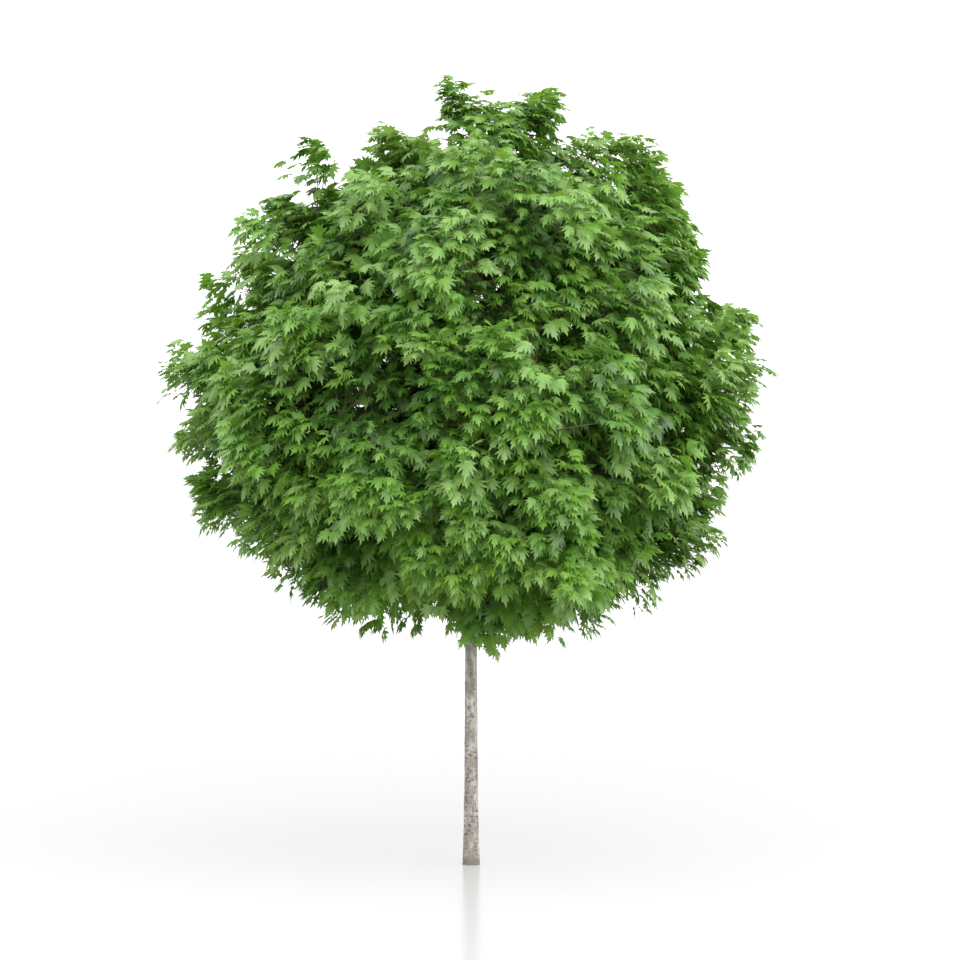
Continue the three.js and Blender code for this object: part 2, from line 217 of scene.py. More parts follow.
class Graph:
    """The shader tree of one finish."""

    def __init__(self, name: str) -> None:
        """Starts a material with one plain shader.

        Args:
            name: The material's name.
        """
        self.material = bpy.data.materials.new(name)
        self.material.use_nodes = True
        self.tree = self.material.node_tree
        self.shader = self.tree.nodes["Principled BSDF"]

    def feed(self, socket: bpy.types.NodeSocket, entry: object) -> None:
        """Feeds one socket.

        Args:
            socket: The socket to feed.
            entry: A value or socket to link to it, or a plain number or colour to set on it.
        """
        if isinstance(entry, Value):
            entry = entry.socket
        if isinstance(entry, bpy.types.NodeSocket):
            self.tree.links.new(entry, socket)
        else:
            socket.default_value = entry

    def node(
        self, kind: str, settings: dict[str, object], inputs: dict[object, object]
    ) -> bpy.types.Node:
        """Adds a node.

        Args:
            kind: The node's type.
            settings: Its own settings, which are set first.
            inputs: Values or links for its sockets, by name or place.

        Returns:
            The node.
        """
        made = self.tree.nodes.new(kind)
        for key, setting in settings.items():
            setattr(made, key, setting)
        for key, entry in inputs.items():
            self.feed(made.inputs[key], entry)
        return made

    def own_place(self) -> bpy.types.NodeSocket:
        """The place on the object."""
        return self.node("ShaderNodeTexCoord", {}, {}).outputs["Object"]

    def place(self, scale: Place) -> bpy.types.NodeSocket:
        """The place on the object, stretched by a scale."""
        made = self.node("ShaderNodeMapping", {}, {"Vector": self.own_place(), "Scale": scale})
        return made.outputs[0]

    def height(self) -> Value:
        """The height on the object."""
        parts = self.node("ShaderNodeSeparateXYZ", {}, {0: self.own_place()})
        return Value(self, parts.outputs["Z"])

    def distance(self, spot: Place) -> Value:
        """The distance from a spot on the object."""
        made = self.node("ShaderNodeVectorMath", {"operation": "DISTANCE"}, {0: self.own_place(), 1: spot})
        return Value(self, made.outputs["Value"])

    def blend(self, share: Value, low: object, high: object) -> bpy.types.NodeSocket:
        """A colour between two others.

        Args:
            share: 0 gives the first, 1 the second.
            low: The first colour or its socket.
            high: The second colour or its socket.

        Returns:
            The mixed colour's socket.
        """
        # A Mix node's sockets 6 and 7 take its two colours, and output 2 gives the mixed one.
        inputs = {0: share, 6: paint(low), 7: paint(high)}
        return self.node("ShaderNodeMix", {"data_type": "RGBA"}, inputs).outputs[2]

    def bump(self, height: Value, distance: float, strength: float) -> bpy.types.NodeSocket:
        """The shading normal of a fine relief."""
        inputs = {"Height": height, "Distance": distance, "Strength": strength}
        return self.node("ShaderNodeBump", {}, inputs).outputs[0]

    def let_light_through(self, share: float, colour: Colour) -> None:
        """Mixes in light that falls through a thin surface from behind.

        Args:
            share: How much of what is seen is such light.
            colour: The colour that the light takes on its way.
        """
        through = self.node("ShaderNodeBsdfTranslucent", {}, {"Color": paint(colour)})
        inputs = {0: share, 1: self.shader.outputs[0], 2: through.outputs[0]}
        both = self.node("ShaderNodeMixShader", {}, inputs)
        self.feed(self.tree.nodes["Material Output"].inputs["Surface"], both.outputs[0])

    def dress(self, **inputs: object) -> bpy.types.Material:
        """Feeds the shader's sockets.

        Args:
            inputs: An entry for each socket, named with underscores for spaces.

        Returns:
            The finished material.
        """
        for key, entry in inputs.items():
            self.feed(self.shader.inputs[key.replace("_", " ")], entry)
        return self.material


def paint(entry: object) -> object:
    """A plain colour with its alpha, or a socket as it is."""
    return (*entry, 1.0) if isinstance(entry, tuple) else entry


@dataclass(frozen=True)
class Mottle:
    """A soft pattern on a surface, its finer layers, and the step between its low and high places."""

    scale: float
    layers: float
    layer_strength: float = 0.5
    low: float = 0.0
    high: float = 1.0

    def raw(self, graph: Graph, place: bpy.types.NodeSocket) -> Value:
        """The pattern without its step.

        Args:
            graph: The shader tree.
            place: Where the pattern is read.

        Returns:
            Numbers about one half.
        """
        inputs = {
            "Vector": place,
            "Scale": self.scale,
            "Detail": self.layers,
            "Roughness": self.layer_strength,
        }
        return Value(graph, graph.node("ShaderNodeTexNoise", {}, inputs).outputs[0])

    def stepped(self, graph: Graph, place: bpy.types.NodeSocket) -> Value:
        """The pattern read at a place: 0 where it is low, 1 where it is high."""
        return self.raw(graph, place).smooth(self.low, self.high)


@dataclass(frozen=True)
class Sheen:
    """How a surface takes light: its roughness and how that varies, its shine, and its fine relief."""

    rough: float
    rough_spread: float
    shine: float
    relief_depth: float
    relief_strength: float

    def dress(
        self, graph: Graph, colour: bpy.types.NodeSocket, wear: Value, relief: Value
    ) -> bpy.types.Material:
        """Feeds a finish's shader.

        Args:
            graph: The shader tree.
            colour: The surface's colour.
            wear: Where the surface is rougher.
            relief: The height of its fine relief.

        Returns:
            The finished material.
        """
        return graph.dress(
            Base_Color=colour,
            Roughness=self.rough + wear * self.rough_spread,
            Normal=graph.bump(relief, self.relief_depth, self.relief_strength),
            Specular_IOR_Level=self.shine,
        )


@dataclass(frozen=True)
class BarkFinish:
    """Grey bark of a young maple: pale and warm patches, brown flecks in bands, fine upright furrows, paler
    up the stem as painted light against the crown's shade.
    """

    name: str = "maple_bark"
    grey: Colour = (0.29, 0.262, 0.235)
    pale: Colour = (0.475, 0.455, 0.428)
    high: Colour = (0.615, 0.595, 0.562)
    warm: Colour = (0.225, 0.19, 0.157)
    fleck: Colour = (0.09, 0.066, 0.052)
    foot: Colour = (0.175, 0.152, 0.125)
    patches: Mottle = Mottle(15, 4, 0.62, 0.42, 0.6)
    warmth: Mottle = Mottle(10, 3, 0.5, 0.5, 0.64)
    furrows: Mottle = Mottle(85, 3)
    blots: Mottle = Mottle(42, 3, 0.6, 0.5, 0.62)
    flecks: Mottle = Mottle(34, 4, 0.66, 0.5, 0.6)
    bands: Mottle = Mottle(7, 2, 0.5, 0.34, 0.52)
    grain: Mottle = Mottle(190, 2)
    tall_scale: Place = (1, 1, 0.35)
    wide_scale: Place = (1, 1, 1.7)
    furrow_scale: Place = (1, 1, 0.12)
    foot_band: Step = (0.12, 0.4)
    foot_band_share: float = 0.5
    band_fade: Step = (1.0, 1.6)
    band_loss: float = 0.4
    # Painted light: the bark turns paler up the stem to offset the shade that the crown casts there.
    lit_top_rise: Step = (0.9, 1.6)
    lit_top_share: float = 0.7
    warm_share: float = 0.75
    blot_share: float = 0.55
    furrow_step: Step = (0.52, 0.72)
    furrow_share: float = 0.45
    fleck_share: float = 0.75
    foot_rise: Step = (0.02, 0.09)
    foot_ragged: float = 0.05
    foot_share: float = 0.75
    furrow_relief: float = 0.6
    grain_relief: float = 0.25
    fleck_relief: float = 0.5
    sheen: Sheen = Sheen(0.78, 0.2, 0.25, 0.004, 0.6)

    def make(self) -> bpy.types.Material:
        """Builds the material.

        Returns:
            The material.
        """
        graph = Graph(self.name)
        even = graph.place(EVEN)
        tall = graph.place(self.tall_scale)
        height = graph.height()
        patches = self.patches.stepped(graph, tall)
        warmth = self.warmth.stepped(graph, tall)
        furrows = self.furrows.raw(graph, graph.place(self.furrow_scale))
        blots = self.blots.stepped(graph, tall)
        flecks = self.flecks.stepped(graph, graph.place(self.wide_scale))
        foot_band = (1 - height.smooth(*self.foot_band)) * self.foot_band_share
        bands = (self.bands.stepped(graph, even) + foot_band).math("MINIMUM", 1.0)
        grain = self.grain.raw(graph, even)
        marks = flecks * (bands * (1 - height.smooth(*self.band_fade) * self.band_loss))
        low = 1 - (height + (grain - MIDDLE) * self.foot_ragged).smooth(*self.foot_rise)
        colour = graph.blend(patches, self.grey, self.pale)
        # Painted light: paler bark up the stem, against the shade under the crown.
        colour = graph.blend(height.smooth(*self.lit_top_rise) * self.lit_top_share, colour, self.high)
        colour = graph.blend(warmth * self.warm_share, colour, self.warm)
        colour = graph.blend(blots * self.blot_share, colour, self.warm)
        colour = graph.blend(furrows.smooth(*self.furrow_step) * self.furrow_share, colour, self.warm)
        colour = graph.blend(marks * self.fleck_share, colour, self.fleck)
        colour = graph.blend(low * self.foot_share, colour, self.foot)
        relief = furrows * self.furrow_relief + grain * self.grain_relief - marks * self.fleck_relief
        return self.sheen.dress(graph, colour, grain, relief)


@dataclass(frozen=True)
class TwigFinish:
    """Bark of twigs: olive brown on young wood, greyer on the older, with pale pores."""

    name: str
    young: Colour
    old: Colour
    pore: Colour = (0.17, 0.15, 0.12)
    ageing: Mottle = Mottle(14, 2, 0.5, 0.35, 0.65)
    pores: Mottle = Mottle(260, 1, 0.5, 0.62, 0.7)
    grain: Mottle = Mottle(120, 2)
    pore_share: float = 0.6
    sheen: Sheen = Sheen(0.6, 0.25, 0.3, 0.001, 0.4)

    def make(self) -> bpy.types.Material:
        """Builds the material.

        Returns:
            The material.
        """
        graph = Graph(self.name)
        even = graph.place(EVEN)
        age = self.ageing.stepped(graph, even)
        pores = self.pores.stepped(graph, even) * self.pore_share
        colour = graph.blend(pores, graph.blend(age, self.young, self.old), self.pore)
        return self.sheen.dress(graph, colour, age, self.grain.raw(graph, even))


class Tint(Enum):
    """The greens that sprays are dealt, from dark to pale, with some spread in hue: the darker ones are
    painted shade deep in the crown, the paler ones painted light at its outside.
    """

    DEEP = (0.049, 0.137, 0.012)
    SHADED = (0.093, 0.224, 0.026)
    PLAIN = (0.122, 0.284, 0.028)
    FULL = (0.141, 0.305, 0.042)
    FRESH = (0.159, 0.322, 0.042)
    PALE = (0.182, 0.334, 0.072)


@dataclass(frozen=True)
class LeafFinish:
    """A leaf's skin: its spray's green in cloudy tones, paler veins, a soft sheen, light let through."""

    tint: Tint
    clouds: Mottle = Mottle(11, 3, 0.5, 0.3, 0.7)
    grain: Mottle = Mottle(90, 2)
    shade_gain: float = 0.8
    light_gain: float = 1.08
    vein_angles: tuple[float, ...] = (30.0, 56.0, 92.0)
    vein_width: float = 0.022
    vein_core: float = 0.3
    vein_gain: float = 1.35
    vein_share: float = 0.5
    light_through: float = 0.25
    through_gain: tuple[float, float, float] = (1.9, 1.7, 1.3)
    grain_relief: float = 0.4
    sheen: Sheen = Sheen(0.4, 0.16, 0.9, 0.003, 0.35)

    def scaled(self, gain: float) -> Colour:
        """The spray's green, lighter or darker."""
        return tuple(min(1.0, part * gain) for part in self.tint.value)

    def veins(self, graph: Graph) -> Value:
        """Where the main veins run, from the leaf's own map.

        Args:
            graph: The shader tree.

        Returns:
            1 on a vein and 0 off it.
        """
        source = graph.node("ShaderNodeUVMap", {"uv_map": LEAF_MAP}, {})
        parts = graph.node("ShaderNodeSeparateXYZ", {}, {0: source.outputs[0]})
        across = abs(Value(graph, parts.outputs["X"]) - LEAF_MAP_FOOT[0])
        along = Value(graph, parts.outputs["Y"]) - LEAF_MAP_FOOT[1]
        reach = (across * across + along * along).math("SQRT")
        angle = across.math("ARCTAN2", along)
        nearest = abs(angle)
        for degrees in self.vein_angles:
            nearest = nearest.math("MINIMUM", abs(angle - math.radians(degrees)))
        return 1 - (reach * nearest).smooth(self.vein_width * self.vein_core, self.vein_width)

    def make(self) -> bpy.types.Material:
        """Builds the material.

        Returns:
            The material.
        """
        graph = Graph("leaf_" + self.tint.name.lower())
        even = graph.place(EVEN)
        clouds = self.clouds.stepped(graph, even)
        grain = self.grain.raw(graph, even)
        veins = self.veins(graph)
        colour = graph.blend(clouds, self.scaled(self.shade_gain), self.scaled(self.light_gain))
        colour = graph.blend(veins * self.vein_share, colour, self.scaled(self.vein_gain))
        through = tuple(part * gain for part, gain in zip(self.tint.value, self.through_gain))
        graph.let_light_through(self.light_through, through)
        return self.sheen.dress(graph, colour, grain, grain * self.grain_relief - veins)


@dataclass(frozen=True)
class FloorFinish:
    """A pale, faintly glossy studio floor that glows as painted light, less around a spot behind the tree
    as painted shadow.
    """

    name: str = "pale_floor"
    tone: Colour = (0.2, 0.2, 0.2)
    tone_low: Colour = (0.195, 0.195, 0.195)
    clouds: Mottle = Mottle(0.4, 2)
    glow: Colour = (0.288, 0.288, 0.288)
    glow_far: Colour = (0.44, 0.44, 0.44)
    # Painted shadow: the glow is least at this spot behind the tree and rises away from it.
    painted_shadow_spot: Place = (0.0, 8.0, 0.0)
    painted_shadow_fade: Step = (1.0, 14.0)
    glow_strength: float = 1.0
    rough: float = 0.19
    rough_spread: float = 0.02
    shine: float = 0.011

    def make(self) -> bpy.types.Material:
        """Builds the material.

        Returns:
            The material.
        """
        graph = Graph(self.name)
        clouds = self.clouds.raw(graph, graph.place(EVEN))
        # Painted light and shadow: the floor glows, least around a spot behind the tree and more further
        # off.
        far = graph.distance(self.painted_shadow_spot).smooth(*self.painted_shadow_fade)
        return graph.dress(
            Base_Color=graph.blend(clouds, self.tone_low, self.tone),
            Roughness=self.rough + clouds * self.rough_spread,
            Specular_IOR_Level=self.shine,
            Emission_Color=graph.blend(far, self.glow, self.glow_far),
            Emission_Strength=self.glow_strength,
        )


@dataclass(frozen=True)
class Chance:
    """Repeatable numbers for pairs of whole numbers, drawn as the solids draw them."""

    seed: float = 39.0
    first_mix: float = 12.9898
    second_mix: float = 78.233
    seed_mix: float = 37.719
    stretch: float = 43758.5453

    def share(self, first: Union[Array, float], second: Union[Array, float]) -> Array:
        """Numbers from 0 to 1.

        Args:
            first: The numbers of the things drawn for.
            second: What the draw is for.

        Returns:
            One number for each pair.
        """
        mixed = np.asarray(first) * self.first_mix + np.asarray(second) * self.second_mix
        wave = self.stretch * np.sin(mixed + self.seed * self.seed_mix)
        return wave - np.floor(wave)

    def sway(self, first: Union[Array, float], second: Union[Array, float]) -> Array:
        """Numbers from -1 to 1, for the same pairs."""
        return 2 * self.share(first, second) - 1


@dataclass(frozen=True)
class Ring:
    """A ring of masses: their angle to the upright, their turn, and where and how steeply boughs spring."""

    name: str
    count: int
    polar: float
    turn: float
    drop: float
    rise: float


@dataclass(frozen=True)
class Arcs:
    """A bundle of limbs' middle lines, each with a foot, a bend and a tip."""

    foot: Array
    bend: Array
    tip: Array

    @classmethod
    def bowed(cls, foot: Array, tip: Array, along: Array, bow: float, middle: float = MIDDLE) -> "Arcs":
        """Draws lines that bow on their way.

        Args:
            foot: Their feet.
            tip: Their tips.
            along: The directions that they bow in.
            bow: How far they bow, as a share of their length.
            middle: How far from foot to tip their bends lie.

        Returns:
            The lines.
        """
        return cls(foot, lerp(foot, tip, middle) + along * bow * lengths(tip - foot), tip)

    def matched(self, share: Array) -> tuple[Array, Array, Array, Array]:
        """Brings the lines and places on them to one shape.

        Args:
            share: For each line, one or several places from 0 to 1.

        Returns:
            The feet, bends, tips and places.
        """
        parts = (self.foot, self.bend, self.tip)
        if share.ndim > 1:
            parts = tuple(part[:, None] for part in parts)
        return *parts, share[..., None]

    def at(self, share: Array) -> Array:
        """Places on the lines, for shares as for matched()."""
        foot, bend, tip, t = self.matched(share)
        return foot * (1 - t) ** 2 + bend * 2 * t * (1 - t) + tip * t**2

    def along(self, share: Array) -> Array:
        """Directions of the lines, for shares as for matched()."""
        foot, bend, tip, t = self.matched(share)
        return unit((bend - foot) * (1 - t) + (tip - bend) * t)

    def every(self, places: int) -> Array:
        """The same evenly spaced shares for all lines."""
        return np.broadcast_to(np.linspace(0, 1, places), (len(self.foot), places))

    def take(self, numbers: Array) -> "Arcs":
        """Some of the lines, by number."""
        return Arcs(self.foot[numbers], self.bend[numbers], self.tip[numbers])

    def outer(self, share: float) -> "Arcs":
        """The part of each line from a share of its length to its tip."""
        foot = self.at(np.full(len(self.foot), share))
        return Arcs(foot, lerp(self.bend, self.tip, share), self.tip)

    def with_more(self, more: "Arcs") -> "Arcs":
        """These lines and others in one bundle."""
        pairs = ((self.foot, more.foot), (self.bend, more.bend), (self.tip, more.tip))
        return Arcs(*(np.concatenate(pair) for pair in pairs))


@dataclass
class Crown:
    """The crown's plan, in metres: its outline, its masses, and the lines of boughs, stems and twigs."""

    knuckle_height: float = 2.27
    centre_height: float = 3.45
    half_width: float = 2.35
    rise: float = 2.655
    drop: float = 1.88
    clump_dip: float = 0.1
    clump_spread: float = 0.06
    bough_share: float = 0.5
    stem_share: float = 0.8
    limb_bend: float = 0.5
    gap: float = 0.0003
    twig_count: int = 62
    twig_reach: float = 0.84
    twig_reach_spread: float = 0.04
    twig_bend: float = 0.12
    twig_pull: float = 0.15
    first_twig: float = 0.12
    last_twig: float = 0.92
    stray_share: float = 0.08
    stray_reach: float = 1.08
    rings: tuple[Ring, ...] = (
        Ring("top", 1, 4, 0, -0.020, 87),
        Ring("upper", 4, 46, 20, 0.006, 48),
        Ring("middle", 5, 85, 0, 0.034, 26),
        Ring("lower", 4, 122, 20, 0.085, 12),
    )
    chance: Chance = field(default_factory=Chance)

    def __post_init__(self) -> None:
        """Lays out the masses and the lines of their limbs."""
        self.knuckle = UP * self.knuckle_height
        self.centre = UP * self.centre_height
        self.labels: list[str] = []
        self.lay_out_masses()
        self.boughs = self.bough_lines()
        self.stems = self.stem_lines()
        self.twig_owner, self.twigs = self.twig_lines()

    def lay_out_masses(self) -> None:
        """Gives each mass its label, middle, axis and reach, and its bough's foot and leaving direction."""
        outward, drops, leaving = [], [], []
        for ring in self.rings:
            for place in range(ring.count):
                azimuth = math.radians(ring.turn + 360 * place / ring.count)
                outward.append(from_angles(math.radians(ring.polar), azimuth))
                leaving.append(from_angles(math.radians(90 - ring.rise), azimuth))
                drops.append(ring.drop)
                self.labels.append(f"{ring.name}_{place + 1}" if ring.count > 1 else ring.name)
        outward = np.array(outward)
        self.middles = self.centre + outward * self.ellipsoid_reach(outward)[:, None]
        self.axes = unit(self.middles - self.knuckle)
        self.leaving = np.array(leaving)
        self.bough_feet = self.knuckle - np.array(drops)[:, None] * UP
        self.reach = 1 + self.clump_spread * self.chance.sway(np.arange(len(outward)), Draw.MASS_REACH)

    def ellipsoid_reach(self, direction: Array) -> Array:
        """Distance from the crown's centre to the plain ellipsoid.

        Args:
            direction: Directions from the centre.

        Returns:
            One distance for each.
        """
        upright = np.where(direction[..., 2] > 0, self.rise, self.drop)
        flat = np.hypot(direction[..., 0], direction[..., 1]) / self.half_width
        return 1 / np.hypot(flat, direction[..., 2] / upright)

    def angles(self, points: Array) -> Array:
        """The angle of each point, seen from the knuckle, to each mass's axis."""
        return np.arccos(np.clip(unit(points - self.knuckle) @ self.axes.T, -1, 1))

    def owner_of(self, points: Array) -> Array:
        """The number of the mass that each point belongs to."""
        return np.argmin(self.angles(points), axis=-1)

    def owner_toward(self, direction: Array) -> Array:
        """The number of the mass that the outline belongs to in each direction from the crown's centre."""
        return self.owner_of(self.centre + direction * self.ellipsoid_reach(direction)[..., None])

    def edge_share(self, points: Array) -> Array:
        """How far each point lies towards the edge of its mass, from 0 on its axis to 1 on its edge."""
        nearest = np.sort(self.angles(points), axis=-1)
        return np.minimum(1, 2 * nearest[..., 0] / (nearest[..., 0] + nearest[..., 1]))

    def outline_reach(self, direction: Array) -> Array:
        """Distance from the crown's centre to its outline, with a dome on each mass.

        Args:
            direction: Directions from the centre.

        Returns:
            One distance for each.
        """
        plain = self.ellipsoid_reach(direction)
        points = self.centre + direction * plain[..., None]
        dome = 1 - self.clump_dip * self.edge_share(points) ** 2
        return plain * self.reach[self.owner_of(points)] * dome

    def outline_share(self, points: Array) -> Array:
        """Each point's distance from the crown's centre, as a share of the outline's."""
        arm = points - self.centre
        return np.linalg.norm(arm, axis=-1) / self.outline_reach(unit(arm))

    def pulled(self, tips: Array, pull: Union[Array, float]) -> tuple[Array, Array]:
        """Leans tips in towards the middle of their mass.

        Args:
            tips: The tips of twigs.
            pull: How far they lean, as a share of the way.

        Returns:
            The number of each tip's mass, and the tips' new places.
        """
        owner = self.owner_of(tips)
        spot = self.knuckle + self.axes[owner] * lengths(tips - self.knuckle)
        return owner, lerp(tips, spot, pull)

    def bough_lines(self) -> Arcs:
        """The boughs spring from the knuckle and bend towards their masses.

        Returns:
            The boughs' lines, one for each mass.
        """
        tip = lerp(self.bough_feet, self.middles, self.bough_share)
        return Arcs.bowed(self.bough_feet, tip, self.leaving, self.limb_bend, middle=0)

    def stem_lines(self) -> Arcs:
        """The stems of the masses carry on from the boughs' tips.

        Returns:
            The stems' lines, one for each mass.
        """
        along = unit(self.boughs.tip - self.boughs.bend)
        foot = self.boughs.tip + along * self.gap
        tip = lerp(self.knuckle, self.middles, self.stem_share)
        return Arcs.bowed(foot, tip, along, self.limb_bend, middle=0)

    def twig_lines(self) -> tuple[Array, Arcs]:
        """The solids' own twigs, which spring one above another from the stems.

        Returns:
            The number of each twig's mass, and the twigs' lines.
        """
        number = np.arange(self.twig_count)
        direction = spiral(self.twig_count)
        stray = np.where(self.chance.share(number, Draw.STRAY) < self.stray_share, self.stray_reach, 1)
        share = self.twig_reach + self.twig_reach_spread * self.chance.sway(number, Draw.TWIG_REACH)
        tips = self.centre + direction * (self.outline_reach(direction) * (stray * share))[:, None]
        owner, tips = self.pulled(tips, self.twig_pull)
        place = np.zeros(self.twig_count)
        for mass in range(len(self.labels)):
            own = np.flatnonzero(owner == mass)
            ranked = own[np.argsort(-self.edge_share(tips[own]))]
            place[ranked] = np.linspace(self.first_twig, self.last_twig, len(own))
        carriers = self.stems.take(owner)
        return owner, Arcs.bowed(carriers.at(place), tips, carriers.along(place), self.twig_bend)

    def nodes(self, kind: str) -> list[str]:
        """Names of the solids of one kind, one for each mass."""
        return [f"{kind}_{label}" for label in self.labels]


def put_in(name: str, data: bpy.types.ID) -> bpy.types.Object:
    """Puts an object with its data into the scene.

    Args:
        name: The object's name.
        data: Its mesh, light or camera.

    Returns:
        The object.
    """
    made = bpy.data.objects.new(name, data)
    bpy.context.scene.collection.objects.link(made)
    return made


def joined_piece(
    name: str, vertices: Array, faces: Array, material: bpy.types.Material, maps: Union[Array, None] = None
) -> bpy.types.Object:
    """Makes one piece of many small things.

    Args:
        name: The piece's name.
        vertices: The places of all corners.
        faces: The corners of all triangles.
        material: The piece's finish.
        maps: For each corner, its place on the small thing's own map.

    Returns:
        The piece's object.
    """
    mesh = bpy.data.meshes.new(name)
    mesh.vertices.add(len(vertices))
    mesh.vertices.foreach_set("co", vertices.astype(np.float32).ravel())
    mesh.loops.add(faces.size)
    mesh.loops.foreach_set("vertex_index", faces.astype(np.int32).ravel())
    mesh.polygons.add(len(faces))
    mesh.polygons.foreach_set("loop_start", np.arange(0, faces.size, 3, dtype=np.int32))
    mesh.polygons.foreach_set("use_smooth", np.ones(len(faces), dtype=bool))
    if maps is not None:
        layer = mesh.uv_layers.new(name=LEAF_MAP)
        layer.data.foreach_set("uv", maps[faces.ravel()].astype(np.float32).ravel())
    mesh.update(calc_edges=True)
    mesh.validate()
    mesh.materials.append(material)
    return put_in(name, mesh)


def settle(piece: bpy.types.Object, slot: Slot, nodes: list[str]) -> bpy.types.Object:
    """Args:
        piece: The piece.
        slot: Its material slot; not used.
        nodes: The solids that it stands for.

    Returns:
        The piece.
    """
    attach(piece, BODY)
    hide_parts(*nodes)
    log.info("%s: %d faces", piece.name, len(piece.data.polygons))
    return piece


@dataclass
class Limbwork:
    """The trunk and the boughs as one skin of bark with its relief."""

    crown: Crown
    knuckle_radius: float = 0.052
    foot_radius: float = 0.050
    head_radius: float = 0.044
    root_flare: float = 0.017
    root_flare_height: float = 0.4
    knuckle_neck: float = 0.156
    below_ground: float = 0.03
    stem_sides: int = 28
    stem_steps: int = 16
    ring_bias: float = 1.6
    dome_steps: int = 5
    bough_radius: float = 0.015
    bough_tip_radius: float = 0.0085
    bough_turns: int = 4
    bough_steps: int = 14
    handle_share: float = 2 / 3
    skin: float = 0.0055
    smoothing: float = 0.5
    smoothing_rounds: int = 3
    relief_name: str = "relief"
    relief_layers: int = 2
    lump_size: float = 0.09
    lump_depth: float = 0.006
    lump_stretch: float = 1.5
    furrow_size: float = 0.016
    furrow_depth: float = 0.0035
    furrow_stretch: float = 4.0
    bough_relief: float = 0.35
    stem_room: float = 2.0
    smooth_angle: float = 50.0
    finish: BarkFinish = field(default_factory=BarkFinish)

    def stem_radius(self, height: float) -> float:
        """The stem's radius at a height, with its flare at the root."""
        plain = lerp(self.foot_radius, self.head_radius, height / self.crown.knuckle_height)
        return plain + self.root_flare * math.exp(-height / self.root_flare_height)

    def profile(self) -> list[tuple[float, float]]:
        """The stem's rings, from below the cut up over the knuckle.

        Returns:
            The height and radius of each ring.
        """
        neck = self.crown.knuckle_height - self.knuckle_neck
        shares = [step / self.stem_steps for step in range(self.stem_steps + 1)]
        heights = [neck * share**self.ring_bias for share in shares]
        rings = [(-self.below_ground, self.stem_radius(0))]
        rings += [(height, self.stem_radius(height)) for height in heights]
        for step in range(self.dome_steps):
            angle = math.pi / 2 * step / self.dome_steps
            rise = self.crown.knuckle_height + self.knuckle_radius * math.sin(angle)
            rings.append((rise, self.knuckle_radius * math.cos(angle)))
        return rings

    def turn_stem(self) -> bpy.types.Object:
        """Raises the stem ring by ring from a disc.

        Returns:
            The stem's object.
        """
        rings = self.profile()
        bottom, radius = rings[0]
        bpy.ops.object.select_all(action="DESELECT")
        bpy.ops.mesh.primitive_circle_add(
            vertices=self.stem_sides,
            radius=radius,
            fill_type="NGON",
            location=(0, 0, bottom),
            enter_editmode=True,
        )
        for (low, wide), (high, narrow) in zip(rings, rings[1:]):
            share = narrow / wide
            bpy.ops.mesh.extrude_region_move(TRANSFORM_OT_translate={"value": (0, 0, high - low)})
            bpy.ops.transform.resize(value=(share, share, 1), center_override=(0, 0, high))
        bpy.ops.mesh.select_all(action="SELECT")
        bpy.ops.mesh.normals_make_consistent(inside=False)
        bpy.ops.object.mode_set(mode="OBJECT")
        bpy.ops.object.transform_apply(location=True, rotation=True, scale=True)
        return bpy.context.object

    def bend_bough(self, number: int) -> bpy.types.Object:
        """Draws one bough along its line, tapering.

        Args:
            number: The bough's number.

        Returns:
            The bough's object.
        """
        line = self.crown.boughs
        foot, bend, tip = line.foot[number], line.bend[number], line.tip[number]
        bpy.ops.object.select_all(action="DESELECT")
        bpy.ops.curve.primitive_bezier_curve_add(location=(0, 0, 0))
        limb = bpy.context.object
        limb.data.bevel_depth = 1.0
        limb.data.bevel_resolution = self.bough_turns
        limb.data.use_fill_caps = True
        limb.data.resolution_u = self.bough_steps
        first, last = limb.data.splines[0].bezier_points
        for point, spot, radius in ((first, foot, self.bough_radius), (last, tip, self.bough_tip_radius)):
            point.handle_left_type = point.handle_right_type = "FREE"
            point.co = spot
            point.handle_left = point.handle_right = lerp(spot, bend, self.handle_share)
            point.radius = radius
        first.handle_left = 2 * Vector(foot) - first.handle_right
        last.handle_right = 2 * Vector(tip) - last.handle_left
        bpy.ops.object.convert(target="MESH")
        return bpy.context.object

    def join(self, limbs: list[bpy.types.Object]) -> bpy.types.Object:
        """Joins the limbs into one object.

        Args:
            limbs: The limbs' objects.

        Returns:
            The joined object.
        """
        bpy.ops.object.select_all(action="DESELECT")
        for limb in limbs:
            limb.select_set(True)
        bpy.context.view_layer.objects.active = limbs[0]
        bpy.ops.object.join()
        return bpy.context.object

    def modify(self, piece: bpy.types.Object, kind: str, **settings: object) -> None:
        """Adds a modifier to a piece and applies it.

        Args:
            piece: The piece.
            kind: The modifier's type.
            settings: The modifier's settings.
        """
        made = piece.modifiers.new(kind.lower(), kind)
        for key, setting in settings.items():
            setattr(made, key, setting)
        bpy.ops.object.modifier_apply(modifier=made.name)

    def weigh_relief(self, piece: bpy.types.Object) -> None:
        """Gives the stem a full relief and the boughs a shallow one.

        Args:
            piece: The joined limbs.
        """
        group = piece.vertex_groups.new(name=self.relief_name)
        places = np.zeros(len(piece.data.vertices) * 3)
        piece.data.vertices.foreach_get("co", places)
        places = places.reshape(-1, 3)
        close = np.hypot(places[:, 0], places[:, 1]) < self.stem_room * self.knuckle_radius
        on_stem = close & (places[:, 2] < self.crown.knuckle_height)
        group.add(np.flatnonzero(on_stem).tolist(), 1.0, "REPLACE")
        group.add(np.flatnonzero(~on_stem).tolist(), self.bough_relief, "REPLACE")

